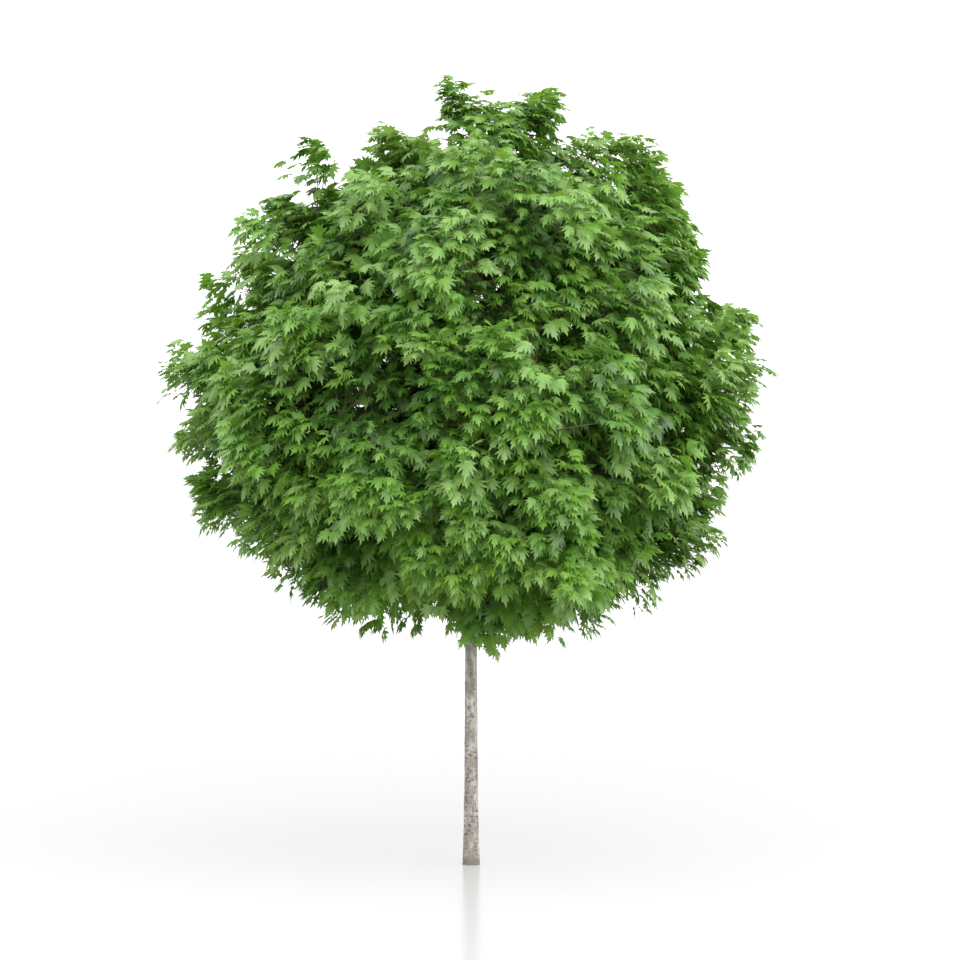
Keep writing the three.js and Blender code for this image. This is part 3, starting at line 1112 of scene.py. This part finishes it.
    def relieve(self, piece: bpy.types.Object, size: float, depth: float, stretch: float) -> None:
        """Raises bark relief on the joined limbs.

        Args:
            piece: The joined limbs.
            size: The width of the relief's lumps.
            depth: From its lowest to its highest points.
            stretch: How much taller than wide its lumps are.
        """
        pattern = bpy.data.textures.new(self.relief_name, "CLOUDS")
        pattern.noise_scale = size
        pattern.noise_depth = self.relief_layers
        bpy.ops.object.empty_add(location=(0, 0, 0))
        ruler = bpy.context.object
        ruler.scale = (1, 1, stretch)
        bpy.context.view_layer.update()
        bpy.ops.object.select_all(action="DESELECT")
        piece.select_set(True)
        bpy.context.view_layer.objects.active = piece
        self.modify(
            piece,
            "DISPLACE",
            texture=pattern,
            texture_coords="OBJECT",
            texture_coords_object=ruler,
            strength=depth,
            mid_level=MIDDLE,
            vertex_group=self.relief_name,
        )
        bpy.data.objects.remove(ruler)
        bpy.data.textures.remove(pattern)

    def cut_at_ground(self) -> None:
        """Cuts the limbs flat at ground level."""
        bpy.ops.object.mode_set(mode="EDIT")
        bpy.ops.mesh.select_all(action="SELECT")
        bpy.ops.mesh.bisect(plane_co=(0, 0, 0), plane_no=(0, 0, 1), use_fill=True, clear_inner=True)
        bpy.ops.object.mode_set(mode="OBJECT")

    def build(self) -> bpy.types.Object:
        """Models and dresses the limbs.

        Returns:
            The finished piece.
        """
        boughs = range(len(self.crown.labels))
        piece = self.join([self.turn_stem()] + [self.bend_bough(number) for number in boughs])
        piece.name = piece.data.name = "bark"
        self.modify(piece, "REMESH", mode="VOXEL", voxel_size=self.skin)
        self.modify(piece, "SMOOTH", factor=self.smoothing, iterations=self.smoothing_rounds)
        self.weigh_relief(piece)
        self.relieve(piece, self.lump_size, self.lump_depth, self.lump_stretch)
        self.relieve(piece, self.furrow_size, self.furrow_depth, self.furrow_stretch)
        self.cut_at_ground()
        bpy.ops.object.shade_smooth_by_angle(angle=math.radians(self.smooth_angle))
        piece.data.materials.clear()
        piece.data.materials.append(self.finish.make())
        return settle(piece, Slot.BARK, ["trunk", *self.crown.nodes("bough")])


@dataclass(frozen=True)
class Tuft:
    """A loose spray at the crown's outline, seen from the front: its angle right of upright, its reach."""

    name: str
    angle: float
    reach: float


@dataclass(frozen=True)
class Hollow:
    """A dark gap among the front sprays: how far it lies right of the crown's middle and above it."""

    name: str
    right: float
    above: float


@dataclass
class Sprigs:
    """The finer wood: sprigs that grow on from stems and twigs by the crown's rule, and their shoots."""

    crown: Crown
    chance: Chance = Chance(21.0)
    tufts: tuple[Tuft, ...] = (
        Tuft("top_left", 0, 1.08),
        Tuft("top_right", 11, 1.08),
        Tuft("shoulder_right", 27, 1.07),
        Tuft("corner_right", 37, 1.12),
        Tuft("edge_right", 43, 1.05),
        Tuft("side_right", 75, 1.1),
        Tuft("middle_right", 84, 1.08),
        Tuft("low_right", 120, 1.08),
        Tuft("hem_right", 131, 1.06),
        Tuft("skirt_right", 144, 1.06),
        Tuft("collar_right", 172, 1.0),
        Tuft("collar_left", -176, 1.0),
        Tuft("hem_left", -153, 1.05),
        Tuft("skirt_left", -144, 1.09),
        Tuft("low_left", -112, 1.13),
        Tuft("middle_left", -96, 1.08),
        Tuft("side_left", -83, 1.14),
        Tuft("high_left", -55, 1.0),
        Tuft("corner_left", -45, 1.03),
        Tuft("shoulder_left", -39, 0.95),
        Tuft("bay_left", -30, 0.89),
        Tuft("crest_left", -13, 0.99),
    )
    tuft_turns: tuple[float, ...] = (-11.0, 0.0, 11.0)
    tuft_room: float = 0.28
    tuft_leaf_room: float = 0.1
    hollows: tuple[Hollow, ...] = (
        Hollow("high", 0.22, 1.01),
        Hollow("right", 0.69, 0.62),
        Hollow("upper_left", -0.70, 0.45),
        Hollow("left", -0.84, 0.0),
        Hollow("far_left", -1.21, 0.19),
    )
    hollow_depth: float = 0.29
    hollow_width: float = 6.0
    trims: tuple[tuple[str, float], ...] = (
        ("upper_1", 1.1),
        ("upper_3", 0.86),
        ("middle_1", 0.96),
        ("middle_3", 1.08),
        ("middle_4", 1.06),
        ("lower_1", 1.08),
        ("lower_4", 1.08),
    )
    count: int = 660
    clumps: int = 150
    clump_shift: float = 0.6
    clump_pull: float = 0.3
    clump_dip: float = 0.13
    clump_edge: float = 1.4
    under_depth: float = 0.07
    under_from: float = 0.65
    reach: float = 0.772
    reach_spread: float = 0.05
    inner_share: float = 0.24
    inner_reach: float = 0.64
    stray_share: float = 0.07
    stray_reach: float = 0.82
    pull: float = 0.1
    bend: float = 0.14
    twig_end: float = 0.5
    carrier_spots: int = 24
    back_cost: float = 1.6
    back_room: float = 0.3
    shoots: int = 7
    first_shoot: float = 0.45
    shoot_jitter: float = 0.06
    shoot_length: float = 0.3
    shoot_spread: float = 0.25
    shortest_shoot: float = 0.3
    shoot_open: float = 64.0
    shoot_close: float = 8.0
    shoot_lift: float = 0.12
    shoot_outward: float = 0.3
    shoot_limit: float = 0.92
    limit_spread: float = 0.04
    stray_limit: float = 1.12
    stray_open: float = 0.6

    def __post_init__(self) -> None:
        """Lays out the sprigs and their shoots."""
        self.number = np.arange(self.count + len(self.tufts) * len(self.tuft_turns))
        self.sprig_lines = self.lay_out_sprigs()
        self.bearers = self.sprig_lines.with_more(self.crown.twigs.outer(self.twig_end))
        self.stray = np.concatenate([self.stray, np.zeros(self.crown.twig_count, dtype=bool)])
        self.limit = np.concatenate([self.limit, np.full(self.crown.twig_count, self.shoot_limit)])
        self.shoot_lines = self.lay_out_shoots()

    def spots(self) -> tuple[Array, Array, Array]:
        """Places on the stems and twigs where a sprig may spring.

        Returns:
            The places, the directions of the wood there, and the numbers of their masses.
        """
        crown = self.crown
        stems = np.arange(len(crown.labels))
        places, along, owner = [], [], []
        for lines, owners in ((crown.stems, stems), (crown.twigs, crown.twig_owner)):
            share = lines.every(self.carrier_spots)
            places.append(lines.at(share).reshape(-1, 3))
            along.append(lines.along(share).reshape(-1, 3))
            owner.append(np.repeat(owners, self.carrier_spots))
        return np.concatenate(places), np.concatenate(along), np.concatenate(owner)

    def clumped(self, direction: Array) -> tuple[Array, Array]:
        """Gathers sprigs into small domes with dips between, and hollows the crown's underside.

        Args:
            direction: The sprigs' directions from the crown's centre.

        Returns:
            Their new directions, and how far they reach as a share of their clump's top.
        """
        number = np.arange(self.clumps)
        shift = np.stack([self.chance.sway(number, Draw.CLUMP_PLACE + axis) for axis in range(3)], axis=1)
        width = 2 / math.sqrt(self.clumps)
        tops = unit(spiral(self.clumps) + self.clump_shift * width * shift)
        near = direction @ tops.T
        top = tops[np.argmax(near, axis=1)]
        apart = np.arccos(np.clip(near.max(axis=1), -1, 1)) / width
        dome = 1 - self.clump_dip * np.minimum(apart, self.clump_edge) ** 2
        under = np.clip((-direction[:, 2] - self.under_from) / (1 - self.under_from), 0, 1)
        return unit(lerp(direction, top, self.clump_pull)), dome - self.under_depth * np.sqrt(under)

    def hollowed(self, direction: Array) -> Array:
        """How much of their reach sprigs and leaves keep near the dark gaps.

        Args:
            direction: Their directions from the crown's centre.

        Returns:
            A share for each.
        """
        crown = self.crown
        kept = np.ones(len(direction))
        for gap in self.hollows:
            aside = math.hypot(gap.right / crown.half_width, gap.above / crown.rise)
            spot = unit(np.array([gap.right, -crown.half_width * math.sqrt(1 - aside**2), gap.above]))
            apart = np.degrees(np.arccos(np.clip(direction @ spot, -1, 1)))
            kept -= self.hollow_depth * np.exp(-((apart / self.hollow_width) ** 2))
        return kept

    def tufted(self) -> tuple[Array, Array]:
        """Lays out the sprigs of the tufts, a few behind one another in each.

        Returns:
            Their directions from the crown's centre, and their reach as a share of the outline's.
        """
        angles = [tuft.angle for tuft in self.tufts for _ in self.tuft_turns]
        front = from_angles(np.radians(angles), np.radians(self.tuft_turns * len(self.tufts)))
        reach = np.repeat([tuft.reach for tuft in self.tufts], len(self.tuft_turns))
        return front, reach * self.crown.ellipsoid_reach(front) / self.crown.outline_reach(front)

    def lay_out_sprigs(self) -> Arcs:
        """Sets sprig tips on a golden spiral, in clumps, with the tufts' tips after them.

        Returns:
            The sprigs' lines.
        """
        crown, chance = self.crown, self.chance
        direction, dome = self.clumped(spiral(self.count))
        front, tuft_reach = self.tufted()
        loose = self.number >= self.count
        direction = np.concatenate([direction, front])
        dome = np.concatenate([dome, np.ones(len(front))])
        draw = chance.share(self.number, Draw.SPRIG_STRAY)
        self.stray = loose | (draw < self.stray_share)
        inner = draw > 1 - self.inner_share
        share = np.where(inner, self.inner_reach, self.reach * dome)
        share = share + self.reach_spread * chance.sway(self.number, Draw.SPRIG_REACH)
        share = np.where(self.stray, self.stray_reach, share)
        trims = dict(self.trims)
        trim = np.array([trims.get(label, 1.0) for label in crown.labels])[crown.owner_toward(direction)]
        share = share * trim * np.where(inner, 1, self.hollowed(direction))
        share[loose] = tuft_reach - self.tuft_room
        tips = crown.centre + direction * (crown.outline_reach(direction) * share)[:, None]
        owner, tips = crown.pulled(tips, np.where(loose, 0, self.pull)[:, None])
        limit = self.shoot_limit * dome + self.limit_spread * chance.sway(self.number, Draw.SPRIG_LIMIT)
        self.limit = np.where(self.stray, self.stray_limit * np.minimum(trim, 1), limit)
        self.limit[loose] = tuft_reach - self.tuft_leaf_room
        return self.grown_on(owner, tips)

    def grown_on(self, owner: Array, tips: Array) -> Arcs:
        """Joins each sprig to the best place on its own mass's wood: near its tip, and not beyond it.

        Args:
            owner: The number of each sprig's mass.
            tips: The sprigs' tips.

        Returns:
            The sprigs' lines.
        """
        knuckle = self.crown.knuckle
        places, along, owners = self.spots()
        apart = np.linalg.norm(tips[:, None] - places[None], axis=2)
        back = lengths(places - knuckle).T - lengths(tips - knuckle) + self.back_room
        cost = apart + self.back_cost * np.maximum(0, back)
        cost = np.where(owners[None] == owner[:, None], cost, np.inf)
        best = np.argmin(cost, axis=1)
        return Arcs.bowed(places[best], tips, along[best], self.bend)

    def lay_out_shoots(self) -> Arcs:
        """Sets shoots along the outer part of each sprig and twig, opening less towards its tip.

        Returns:
            The shoots' lines, those of one sprig or twig together.
        """
        crown, chance = self.crown, self.chance
        bearers = len(self.bearers.foot)
        self.sprig_of = np.repeat(np.arange(bearers), self.shoots)
        rank = np.tile(np.arange(self.shoots), bearers) / (self.shoots - 1)
        key = np.arange(len(rank))
        carriers = self.bearers.take(self.sprig_of)
        jitter = self.shoot_jitter * chance.sway(key, Draw.SHOOT_PLACE) * (rank < 1)
        place = lerp(self.first_shoot, 1.0, rank) + jitter
        foot, along = carriers.at(place), carriers.along(place)
        roll = key * GOLDEN_ANGLE + 2 * math.pi * chance.share(self.sprig_of, Draw.SHOOT_ROLL)
        opening = np.radians(lerp(self.shoot_open, self.shoot_close, rank))
        opening = (opening * np.where(self.stray[self.sprig_of], self.stray_open, 1))[:, None]
        outward = unit(foot - crown.centre)
        heading = along * np.cos(opening) + square_to(along, roll) * np.sin(opening)
        heading = unit(heading + UP * self.shoot_lift + outward * self.shoot_outward)
        length = self.shoot_length * (1 + self.shoot_spread * chance.sway(key, Draw.SHOOT_LENGTH))
        limit = self.limit[self.sprig_of]
        near = crown.outline_share(foot)
        far = crown.outline_share(foot + heading * length[:, None])
        room = (limit - near) / np.maximum(far - near, TINY)
        length = length * np.where(far > limit, np.clip(room, self.shortest_shoot, 1), 1)
        tip = foot + heading * length[:, None]
        return Arcs(foot, foot + unit(along + heading) * length[:, None] * MIDDLE, tip)


@dataclass(frozen=True)
class Gauge:
    """A size of round wood: its radius at the foot and at the tip, its sides, and its lengths."""

    foot: float
    tip: float
    sides: int
    steps: int


@dataclass
class Twigwork:
    """The wood of the masses: stems and twigs, sprigs, and the shoots that bear leaves."""

    crown: Crown
    sprigs: Sprigs
    stem: Gauge = Gauge(0.0085, 0.006, 7, 9)
    twig: Gauge = Gauge(0.0065, 0.0035, 6, 8)
    sprig: Gauge = Gauge(0.0040, 0.0022, 5, 6)
    shoot: Gauge = Gauge(0.0022, 0.0012, 3, 3)
    old_finish: TwigFinish = TwigFinish("twig_bark", (0.05, 0.052, 0.026), (0.075, 0.068, 0.048))
    young_finish: TwigFinish = TwigFinish("shoot_bark", (0.085, 0.085, 0.03), (0.12, 0.08, 0.045))

    def tubes(self, lines: Arcs, gauge: Gauge) -> tuple[Array, Array]:
        """Round wood along a bundle of lines.

        Args:
            lines: The middle lines.
            gauge: The wood's size.

        Returns:
            The places of the corners, and the corners of the triangles.
        """
        sides, steps = gauge.sides, gauge.steps
        share = lines.every(steps + 1)
        middle, along = lines.at(share), lines.along(share)
        radius = lerp(gauge.foot, gauge.tip, share)[..., None]
        rings = []
        for side in range(sides):
            roll = np.full(share.shape, 2 * math.pi * side / sides)
            rings.append(middle + square_to(along, roll) * radius)
        corners = np.stack(rings, axis=2).reshape(-1, 3)
        step, side = np.meshgrid(np.arange(steps), np.arange(sides), indexing="ij")
        low, low_next = step * sides + side, step * sides + (side + 1) % sides
        quads = np.stack([low, low_next, low_next + sides, low + sides], axis=-1).reshape(-1, 4)
        fan = np.arange(1, sides - 1)
        cap = steps * sides + np.stack([np.zeros_like(fan), fan, fan + 1], axis=-1)
        pattern = np.concatenate([quads[:, [0, 1, 2]], quads[:, [0, 2, 3]], cap])
        starts = np.arange(len(lines.foot)) * (steps + 1) * sides
        return corners, (pattern[None] + starts[:, None, None]).reshape(-1, 3)

    def build(self) -> list[bpy.types.Object]:
        """Builds and dresses the wood.

        Returns:
            The finished pieces.
        """
        crown, sprigs = self.crown, self.sprigs
        older = [
            self.tubes(crown.stems, self.stem),
            self.tubes(crown.twigs, self.twig),
            self.tubes(sprigs.sprig_lines, self.sprig),
        ]
        starts = np.cumsum([0] + [len(corners) for corners, _ in older])
        corners = np.concatenate([corners for corners, _ in older])
        faces = np.concatenate([faces + start for (_, faces), start in zip(older, starts)])
        shoots = self.tubes(sprigs.shoot_lines, self.shoot)
        nodes = crown.nodes("foliage")
        return [
            settle(joined_piece("twigs", corners, faces, self.old_finish.make()), Slot.BARK, nodes),
            settle(joined_piece("shoots", *shoots, self.young_finish.make()), Slot.BARK, nodes),
        ]


@dataclass(frozen=True)
class Blade:
    """One maple leaf's blade of unit length: five pointed lobes with teeth, folded on its veins."""

    fold: float
    droop: float
    pleat: float = 0.03
    midrib: tuple[tuple[float, float], ...] = ((0.0, 0.0), (0.0, 0.50), (0.0, 1.09))
    half: tuple[tuple[float, float, int], ...] = (
        (0.14, -0.10, 0),
        (0.47, -0.02, -1),
        (0.27, 0.18, 1),
        (0.60, 0.40, -1),
        (0.33, 0.42, 1),
        (0.23, 0.25, -1),
        (0.43, 0.72, -1),
        (0.165, 0.49, 1),
        (0.20, 0.80, 0),
        (0.09, 0.79, 0),
    )
    half_faces: tuple[tuple[int, int, int], ...] = (
        (0, 3, 4), (0, 4, 5), (0, 5, 8), (5, 6, 8), (6, 7, 8), (8, 7, 9),
        (8, 9, 10), (0, 8, 10), (0, 10, 1), (10, 11, 1), (11, 12, 1), (12, 2, 1),
    )

    def corners(self) -> Array:
        """Lays out the blade's corners, bent and folded.

        Returns:
            Their places across, along and out of the blade.
        """
        flat = [(x, y, 0) for x, y in self.midrib]
        flat += list(self.half) + [(-x, y, z) for x, y, z in self.half]
        made = np.array(flat, dtype=float)
        reach = made[:, 0] ** 2 + made[:, 1] ** 2
        made[:, 2] = self.pleat * made[:, 2] + self.fold * np.abs(made[:, 0]) - self.droop * reach
        return made

    def faces(self) -> Array:
        """Joins the corners into triangles that face out of the blade.

        Returns:
            The triangles' corners, by number.
        """
        right = np.array(self.half_faces)
        left = np.where(right < len(self.midrib), right, right + len(self.half))[:, ::-1]
        return np.concatenate([right, left])


@dataclass
class Leafage:
    """The leaves, in opposite pairs along the shoots, hanging out and down from their stalks."""

    crown: Crown
    sprigs: Sprigs
    length: float = 0.121
    length_spread: float = 0.2
    places: tuple[float, ...] = (0.45, 0.45, 0.75, 0.75, 1.0, 1.0, 1.0)
    openings: tuple[float, ...] = (62, 62, 56, 56, 46, 46, 6)
    stalks: tuple[float, ...] = (0.085, 0.085, 0.075, 0.075, 0.055, 0.055, 0.035)
    sizes: tuple[float, ...] = (1.0, 1.0, 1.05, 1.05, 0.9, 0.9, 0.76)
    stalk_width: float = 0.0022
    stalk_lift: float = 0.12
    stalk_lead: float = 0.7
    stalk_faces: tuple[tuple[int, int, int], ...] = ((0, 1, 2), (0, 2, 3))
    hang: float = 0.5
    hang_spread: float = 0.5
    outward: float = 0.74
    sideways: float = 0.5
    facing_up: float = 0.8
    facing_out: float = 0.65
    facing_spread: float = 0.46
    crest_power: int = 5
    loose_size: float = 0.92
    loose_hang: float = 0.65
    loose_spread: float = 0.5
    lowest: float = 1.57
    box_room: float = 0.028
    tip_room: float = 0.075
    shoulder_place: float = 0.5
    shoulder_reach: float = 0.63
    shoot_tint: float = 0.55
    sprig_tint: float = 0.35
    # Painted shade and light: how strongly sprays deep in the crown get darker tints and outer ones
    # lighter.
    painted_depth_shade: float = 2.2
    depth_range: Step = (0.6, 1.1)
    depth_middle: float = 0.9
    forms: tuple[Blade, ...] = (
        Blade(-0.08, 0.3),
        Blade(-0.15, 0.42),
        Blade(0.05, 0.36),
        Blade(-0.03, 0.2),
    )

    def sway(self, draw: int) -> Array:
        """A number from -1 to 1 for each leaf."""
        return self.sprigs.chance.sway(self.shoot_of, draw + self.slot)

    def when_loose(self, share: float) -> Array:
        """A share for each leaf on a loose spray, and 1 for the others."""
        return np.where(self.loose, share, 1)

    def lay_out(self) -> None:
        """Gives each leaf its node on a shoot, its stalk, its size and its form."""
        chance, sprigs = self.sprigs.chance, self.sprigs
        shoots, per_shoot = len(sprigs.sprig_of), len(self.places)
        self.shoot_of = np.repeat(np.arange(shoots), per_shoot)
        self.slot = np.tile(np.arange(per_shoot), shoots)
        self.loose = sprigs.stray[sprigs.sprig_of[self.shoot_of]]
        carriers = sprigs.shoot_lines.take(self.shoot_of)
        place = np.array(self.places)[self.slot]
        self.node, along = carriers.at(place), carriers.along(place)
        roll = (self.slot // 2) * math.pi / 2 + (self.slot % 2) * math.pi
        roll = roll + 2 * math.pi * chance.share(self.shoot_of, Draw.LEAF_ROLL)
        opening = np.radians(np.array(self.openings)[self.slot])[:, None]
        stalk = along * np.cos(opening) + square_to(along, roll) * np.sin(opening)
        self.stalk = unit(stalk + UP * self.stalk_lift)
        self.foot = self.node + self.stalk * np.array(self.stalks)[self.slot][:, None]
        size = np.array(self.sizes)[self.slot] * (1 + self.length_spread * self.sway(Draw.LEAF_SIZE))
        self.blade_length = self.length * size * self.when_loose(self.loose_size)
        form = chance.share(self.shoot_of, Draw.LEAF_FORM + self.slot) * len(self.forms)
        self.form = np.minimum(form.astype(int), len(self.forms) - 1)

    def turn_blades(self) -> None:
        """Gives each leaf its heading, out and down, and the side that its face looks to."""
        crown = self.crown
        outward = unit((self.node - crown.centre) * (1 - UP))
        level = np.cross(outward, UP)
        hang = self.hang + self.hang_spread * self.sway(Draw.LEAF_HANG)
        hang = hang * self.when_loose(self.loose_hang)
        aside = self.sideways * self.sway(Draw.LEAF_SIDE)
        heading = self.stalk * self.stalk_lead - UP * hang[:, None]
        self.heading = unit(heading + outward * self.outward + level * aside[:, None])
        spread = self.facing_spread * self.when_loose(self.loose_spread)
        lift = spread * self.sway(Draw.LEAF_LIFT)
        lean = spread * self.sway(Draw.LEAF_LIFT + len(self.places))
        crest = np.clip((self.node[:, 2] - crown.centre[2]) / crown.rise, 0, 1) ** self.crest_power
        out = self.facing_out * (1 - crest)
        facing = UP * (self.facing_up + lift)[:, None] + outward * out[:, None] + level * lean[:, None]
        along = np.sum(facing * self.heading, axis=1, keepdims=True)
        self.facing = unit(facing - self.heading * along)

    def fitting(self) -> Array:
        """Which leaves keep to the crown's reach and to the object's room.

        Returns:
            True for each leaf that is kept.
        """
        across = np.cross(self.heading, self.facing)
        length = self.blade_length[:, None]
        tip = self.foot + self.heading * length
        shoulder = self.foot + self.heading * length * self.shoulder_place
        side = across * length * self.shoulder_reach
        low, high = (np.array(corner) for corner in CAD_BOX)
        room = self.box_room * (high - low)
        kept = np.ones(len(length), dtype=bool)
        for spot in (tip, shoulder + side, shoulder - side):
            kept &= np.all((spot > low - room) & (spot < high + room), axis=1)
            kept &= spot[:, 2] > self.lowest
        limit = self.sprigs.limit[self.sprigs.sprig_of[self.shoot_of]] + self.tip_room
        limit = limit * self.sprigs.hollowed(unit(tip - self.crown.centre))
        return kept & (self.crown.outline_share(tip) < limit)

    def tints(self) -> Array:
        """The tint that each leaf's spray is dealt: lighter towards the outside as painted light, darker
        deeper in as painted shade, else by chance.

        Returns:
            The number of each leaf's tint.
        """
        chance, sprigs = self.sprigs.chance, self.sprigs
        shoot = np.arange(len(sprigs.sprig_of))
        limit = np.minimum(sprigs.limit, sprigs.shoot_limit)[sprigs.sprig_of]
        depth = np.clip(self.crown.outline_share(sprigs.shoot_lines.tip) / limit, *self.depth_range)
        level = self.shoot_tint * chance.sway(shoot, Draw.SHOOT_TINT)
        level = level + self.sprig_tint * chance.sway(sprigs.sprig_of, Draw.SPRIG_TINT)
        # Painted shade and light: deeper sprays get darker tints, outer ones lighter.
        level = level + self.painted_depth_shade * (depth - self.depth_middle)
        rank = np.argsort(np.argsort(level)) / len(level)
        return (rank * len(Tint)).astype(int)[self.shoot_of]

    def mesh(self, chosen: Array) -> tuple[Array, Array, Array]:
        """Joins the blades and stalks of some leaves.

        Args:
            chosen: The numbers of the leaves.

        Returns:
            The places of the corners, the corners of the triangles, and the corners' places on the map.
        """
        forms = np.stack([blade.corners() for blade in self.forms])
        local = forms[self.form[chosen]] * self.blade_length[chosen][:, None, None]
        foot, heading, facing = self.foot[chosen], self.heading[chosen], self.facing[chosen]
        axes = np.stack([np.cross(heading, facing), heading, facing], axis=1)
        blades = foot[:, None] + local @ axes
        aside = axes[:, 0] * self.stalk_width / 2
        node = self.node[chosen]
        stalks = np.stack([node - aside, node + aside, foot + aside, foot - aside], axis=1)
        corners = np.concatenate([blades, stalks], axis=1)
        pattern = np.concatenate([self.forms[0].faces(), blades.shape[1] + np.array(self.stalk_faces)])
        faces = pattern[None] + (np.arange(len(chosen)) * corners.shape[1])[:, None, None]
        flat = np.concatenate([forms[0][:, :2], np.zeros((stalks.shape[1], 2))])
        flat = flat * LEAF_MAP_SCALE + np.array(LEAF_MAP_FOOT)
        return corners.reshape(-1, 3), faces.reshape(-1, 3), np.tile(flat, (len(chosen), 1))

    def build(self) -> list[bpy.types.Object]:
        """Builds and dresses the leaves, one piece for each tint.

        Returns:
            The finished pieces.
        """
        self.lay_out()
        self.turn_blades()
        kept, tints = self.fitting(), self.tints()
        log.info("leaves: %d of %d kept", kept.sum(), len(kept))
        pieces = []
        for number, tint in enumerate(Tint):
            corners, faces, maps = self.mesh(np.flatnonzero(kept & (tints == number)))
            name = "leaves_" + tint.name.lower()
            piece = joined_piece(name, corners, faces, LeafFinish(tint).make(), maps)
            pieces.append(settle(piece, Slot.LEAVES, self.crown.nodes("foliage")))
        return pieces


@dataclass(frozen=True)
class Lamp:
    """A soft, even light: where it shines from, how wide it looks in degrees, and its strength."""

    name: str
    side: Place
    width: float
    strength: float


@dataclass
class Studio:
    """The pale floor, the soft lights and the camera."""

    floor_radius: float = 150.0
    floor_sides: int = 64
    floor_inset: float = 0.8
    camera_place: Place = (0.068, -30.0, 4.2)
    camera_target: Place = (0.068, 0.0, 2.935)
    lens: float = 148.2
    sensor: float = 36.0
    farthest: float = 500.0
    lamps: tuple[Lamp, ...] = (
        Lamp("front_high", (0.15, -0.5, 0.86), 55.0, 1.05),
        Lamp("front_low", (0.3, -0.85, 0.42), 50.0, 0.6),
        Lamp("right", (0.85, -0.25, 0.5), 40.0, 1.0),
    )
    sky: Colour = (1.0, 1.0, 1.0)
    sky_strength: float = 1.76
    finish: FloorFinish = field(default_factory=FloorFinish)

    def lay_floor(self) -> None:
        """Lays a wide round floor."""
        bpy.ops.object.select_all(action="DESELECT")
        bpy.ops.mesh.primitive_circle_add(
            vertices=self.floor_sides, radius=self.floor_radius, fill_type="NGON", enter_editmode=True
        )
        bpy.ops.mesh.inset(thickness=self.floor_radius * self.floor_inset)
        bpy.ops.object.mode_set(mode="OBJECT")
        floor = bpy.context.object
        floor.name = "floor"
        floor.data.materials.append(self.finish.make())
        floor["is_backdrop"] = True

    def hang(self, lamp: Lamp) -> None:
        """Hangs one soft light.

        Args:
            lamp: The light.
        """
        light = bpy.data.lights.new(lamp.name, "SUN")
        light.angle = math.radians(lamp.width)
        light.energy = lamp.strength
        hung = put_in(lamp.name, light)
        hung.rotation_euler = Vector(lamp.side).to_track_quat("Z", "Y").to_euler()

    def light_sky(self) -> None:
        """Surrounds the scene with even white light."""
        world = bpy.data.worlds.new("white_studio")
        world.use_nodes = True
        shade = world.node_tree.nodes["Background"]
        shade.inputs["Color"].default_value = (*self.sky, 1.0)
        shade.inputs["Strength"].default_value = self.sky_strength
        bpy.context.scene.world = world
        bpy.context.scene.view_settings.view_transform = "Standard"

    def set_camera(self) -> None:
        """Sets the camera at the photograph's viewing angle."""
        lens = bpy.data.cameras.new("camera")
        lens.lens = self.lens
        lens.sensor_width = self.sensor
        lens.clip_end = self.farthest
        camera = put_in("camera", lens)
        camera.location = self.camera_place
        aim = Vector(self.camera_target) - Vector(self.camera_place)
        camera.rotation_euler = aim.to_track_quat("-Z", "Y").to_euler()
        bpy.context.scene.camera = camera

    def build(self) -> None:
        """Sets up the stage."""
        self.lay_floor()
        for lamp in self.lamps:
            self.hang(lamp)
        self.light_sky()
        self.set_camera()
        log.info("studio ready")


def write_sizes() -> None:
    """Logs the solids' box and the dressed tree's box, as plain lists of numbers."""
    boxes = {"cad": CAD_BOX, "visual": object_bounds()}
    plain = {name: [list(corner) for corner in box] for name, box in boxes.items()}
    log.info("sizes: %s", plain)


def main() -> None:
    """Builds the tree from the limbs outwards, then the stage."""
    logging.basicConfig(level=logging.INFO)
    crown = Crown()
    Limbwork(crown).build()
    sprigs = Sprigs(crown)
    Twigwork(crown, sprigs).build()
    Leafage(crown, sprigs).build()
    Studio().build()
    write_sizes()


if __name__ == "__main__":
    main()
